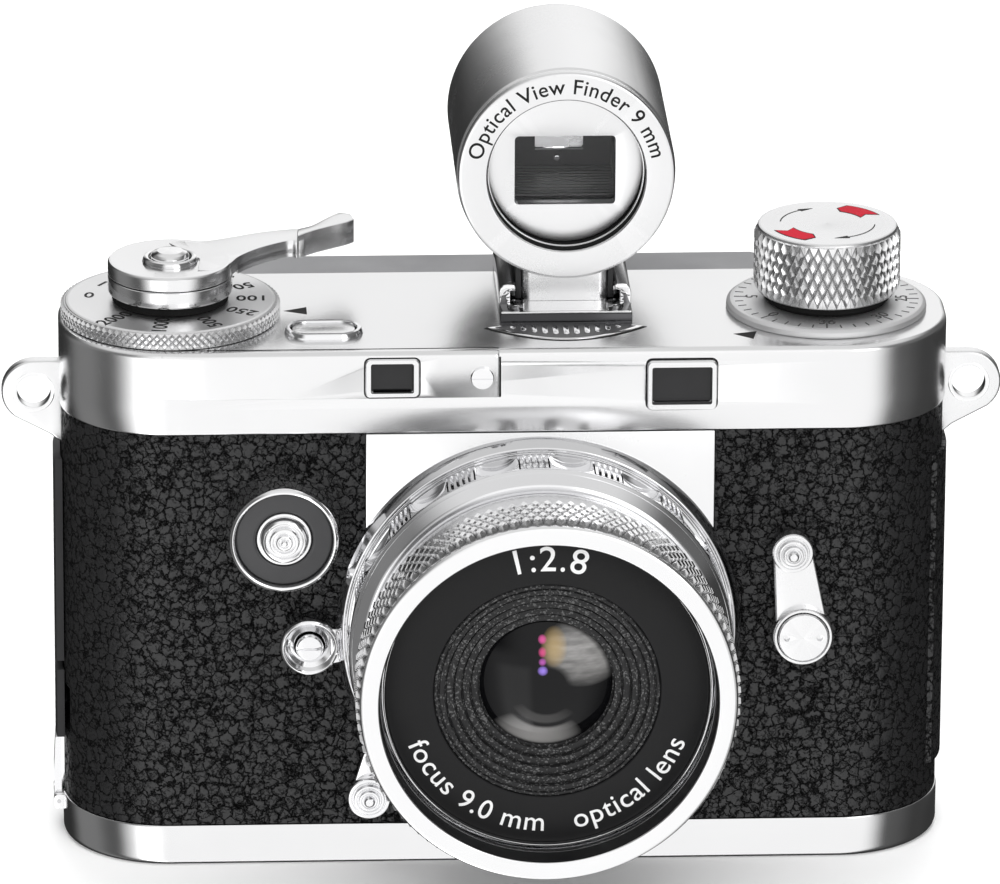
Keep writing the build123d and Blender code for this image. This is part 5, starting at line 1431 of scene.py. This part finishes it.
def step(v, a, b, lo=0.0, hi=1.0):
    """Smooth step of v from a (lo) to b (hi)."""
    x = wn("ShaderNodeMapRange", interpolation_type="SMOOTHSTEP")
    wt.links.new(v, x.inputs[0])
    for i, q in enumerate((a, b, lo, hi)):
        x.inputs[i + 1].default_value = q
    return x.outputs[0]


def lerp(t, a, b):
    """a where t is 0, b where t is 1."""
    return wm("ADD", wm("MULTIPLY", a, wm("SUBTRACT", 1.0, t)), wm("MULTIPLY", b, t))


# a light tent: white card in front and below, dark flags at both ends, a soft panel behind and above
flat = wm("SQRT", wm("MAXIMUM", wm("ADD", wm("MULTIPLY", X_, X_), wm("MULTIPLY", Y_, Y_)), 0.0001))
cf = wm("DIVIDE", wm("MULTIPLY", Y_, -1.0), flat)          # 1 straight in front, -1 straight behind
cs = wm("DIVIDE", X_, flat)                                # 1 at the right, -1 at the left
side_l = wm("MULTIPLY", step(cf, 0.42, 0.0, 0.10, 0.20), step(cf, -0.3, -0.85, 1.0, 0.45))
side_r = step(cf, 0.42, -0.2, 0.10, 0.05)
sides = lerp(step(cs, -0.1, 0.1), side_l, side_r)
low_front = step(cf, 0.50, 0.87)
low = lerp(low_front, sides, 1.10)
high_front = step(cf, 0.78, 0.99)
high = lerp(high_front, wm("ADD", wm("MULTIPLY", sides, 0.6), 0.10), 1.10)
front_part = lerp(step(Z_, 0.02, 0.22), low, high)
back_az = wm("MULTIPLY", step(cs, -0.40, -0.14), step(cs, 0.58, 0.26))
back_el = step(Z_, -0.20, 0.16)
back_v = wm("ADD", wm("MULTIPLY", wm("MULTIPLY", back_az, back_el), 0.94), lerp(step(cs, -0.1, 0.2), 0.03, step(Z_, -0.35, 0.0, 0.04, 0.10)))
body_v = lerp(step(cf, -0.35, -0.75), front_part, back_v)
tot = lerp(step(Z_, 0.52, 0.86), body_v, 0.78)
tot = wm("ADD", tot, wm("MULTIPLY", wm("MULTIPLY", step(cs, 0.24, 0.34), step(cs, 0.72, 0.60)), wm("MULTIPLY", wm("MULTIPLY", step(Z_, 0.06, 0.16), step(Z_, 0.66, 0.52)), step(cf, 0.0, 0.2, 0.0, 1.7))))
tot = wm("ADD", tot, glow((-0.25, -0.50, -0.83), 10, 1.6))
tot = wm("ADD", tot, wm("MULTIPLY", wm("MULTIPLY", step(cs, -0.66, -0.50), step(cs, -0.12, -0.26)), wm("MULTIPLY", step(Z_, 0.0, -0.12), step(cf, 0.2, 0.5, 0.0, 0.7))))
wt.links.new(tot, bg.inputs["Strength"])
bg.inputs["Color"].default_value = (1, 1, 1, 1)


def area(name, loc, target, size, power, color=(1, 1, 1), size_y=None):
    L = bpy.data.lights.new(name, "AREA")
    L.shape = "RECTANGLE"
    L.size = size
    L.size_y = size_y or size
    L.energy = power
    L.color = color
    o = bpy.data.objects.new(name, L)
    COL.objects.link(o)
    o.location = loc
    v = Vector(target) - Vector(loc)
    o.rotation_euler = v.to_track_quat("-Z", "Y").to_euler()
    o.visible_glossy = False
    return o


area("overhead_softbox", (0.0, 0.05, 0.80), (0, 0, 0.02), 0.9, 4.6)
area("front_softbox", (-0.05, -0.75, 0.50), (0, 0, 0.03), 0.6, 2.8)
area("back_softbox", (0.0, 0.7, 0.6), (0, 0.1, 0.0), 0.6, 3.0)
floor.visible_glossy = False

# camera: long lens, slightly from the left and above
yaw, pitch, roll = radians(2.8296), radians(20.0018), radians(0.3292)
fw = Vector((sin(yaw) * cos(pitch), cos(yaw) * cos(pitch), -sin(pitch)))
rt = Vector((cos(yaw), -sin(yaw), 0.0))
up = rt.cross(fw)
rt2 = rt * cos(roll) + up * sin(roll)
up2 = rt * -sin(roll) + up * cos(roll)
loc = Vector((-0.1149896, 0.0, 30.0402566)) - fw * 744.6495583
cd = bpy.data.cameras.new("camera")
cd.sensor_width = 36.0
cd.sensor_fit = "HORIZONTAL"
cd.lens = 360.0
cd.clip_start, cd.clip_end = 0.01, 60.0
cam = bpy.data.objects.new("camera", cd)
COL.objects.link(cam)
mw = Matrix(((rt2.x, up2.x, -fw.x, loc.x * MM), (rt2.y, up2.y, -fw.y, loc.y * MM), (rt2.z, up2.z, -fw.z, loc.z * MM), (0, 0, 0, 1)))
cam.matrix_world = mw
SC.camera = cam
SC.view_settings.view_transform = "Standard"
SC.view_settings.look = "None"
SC.view_settings.exposure = 0.0

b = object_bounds()
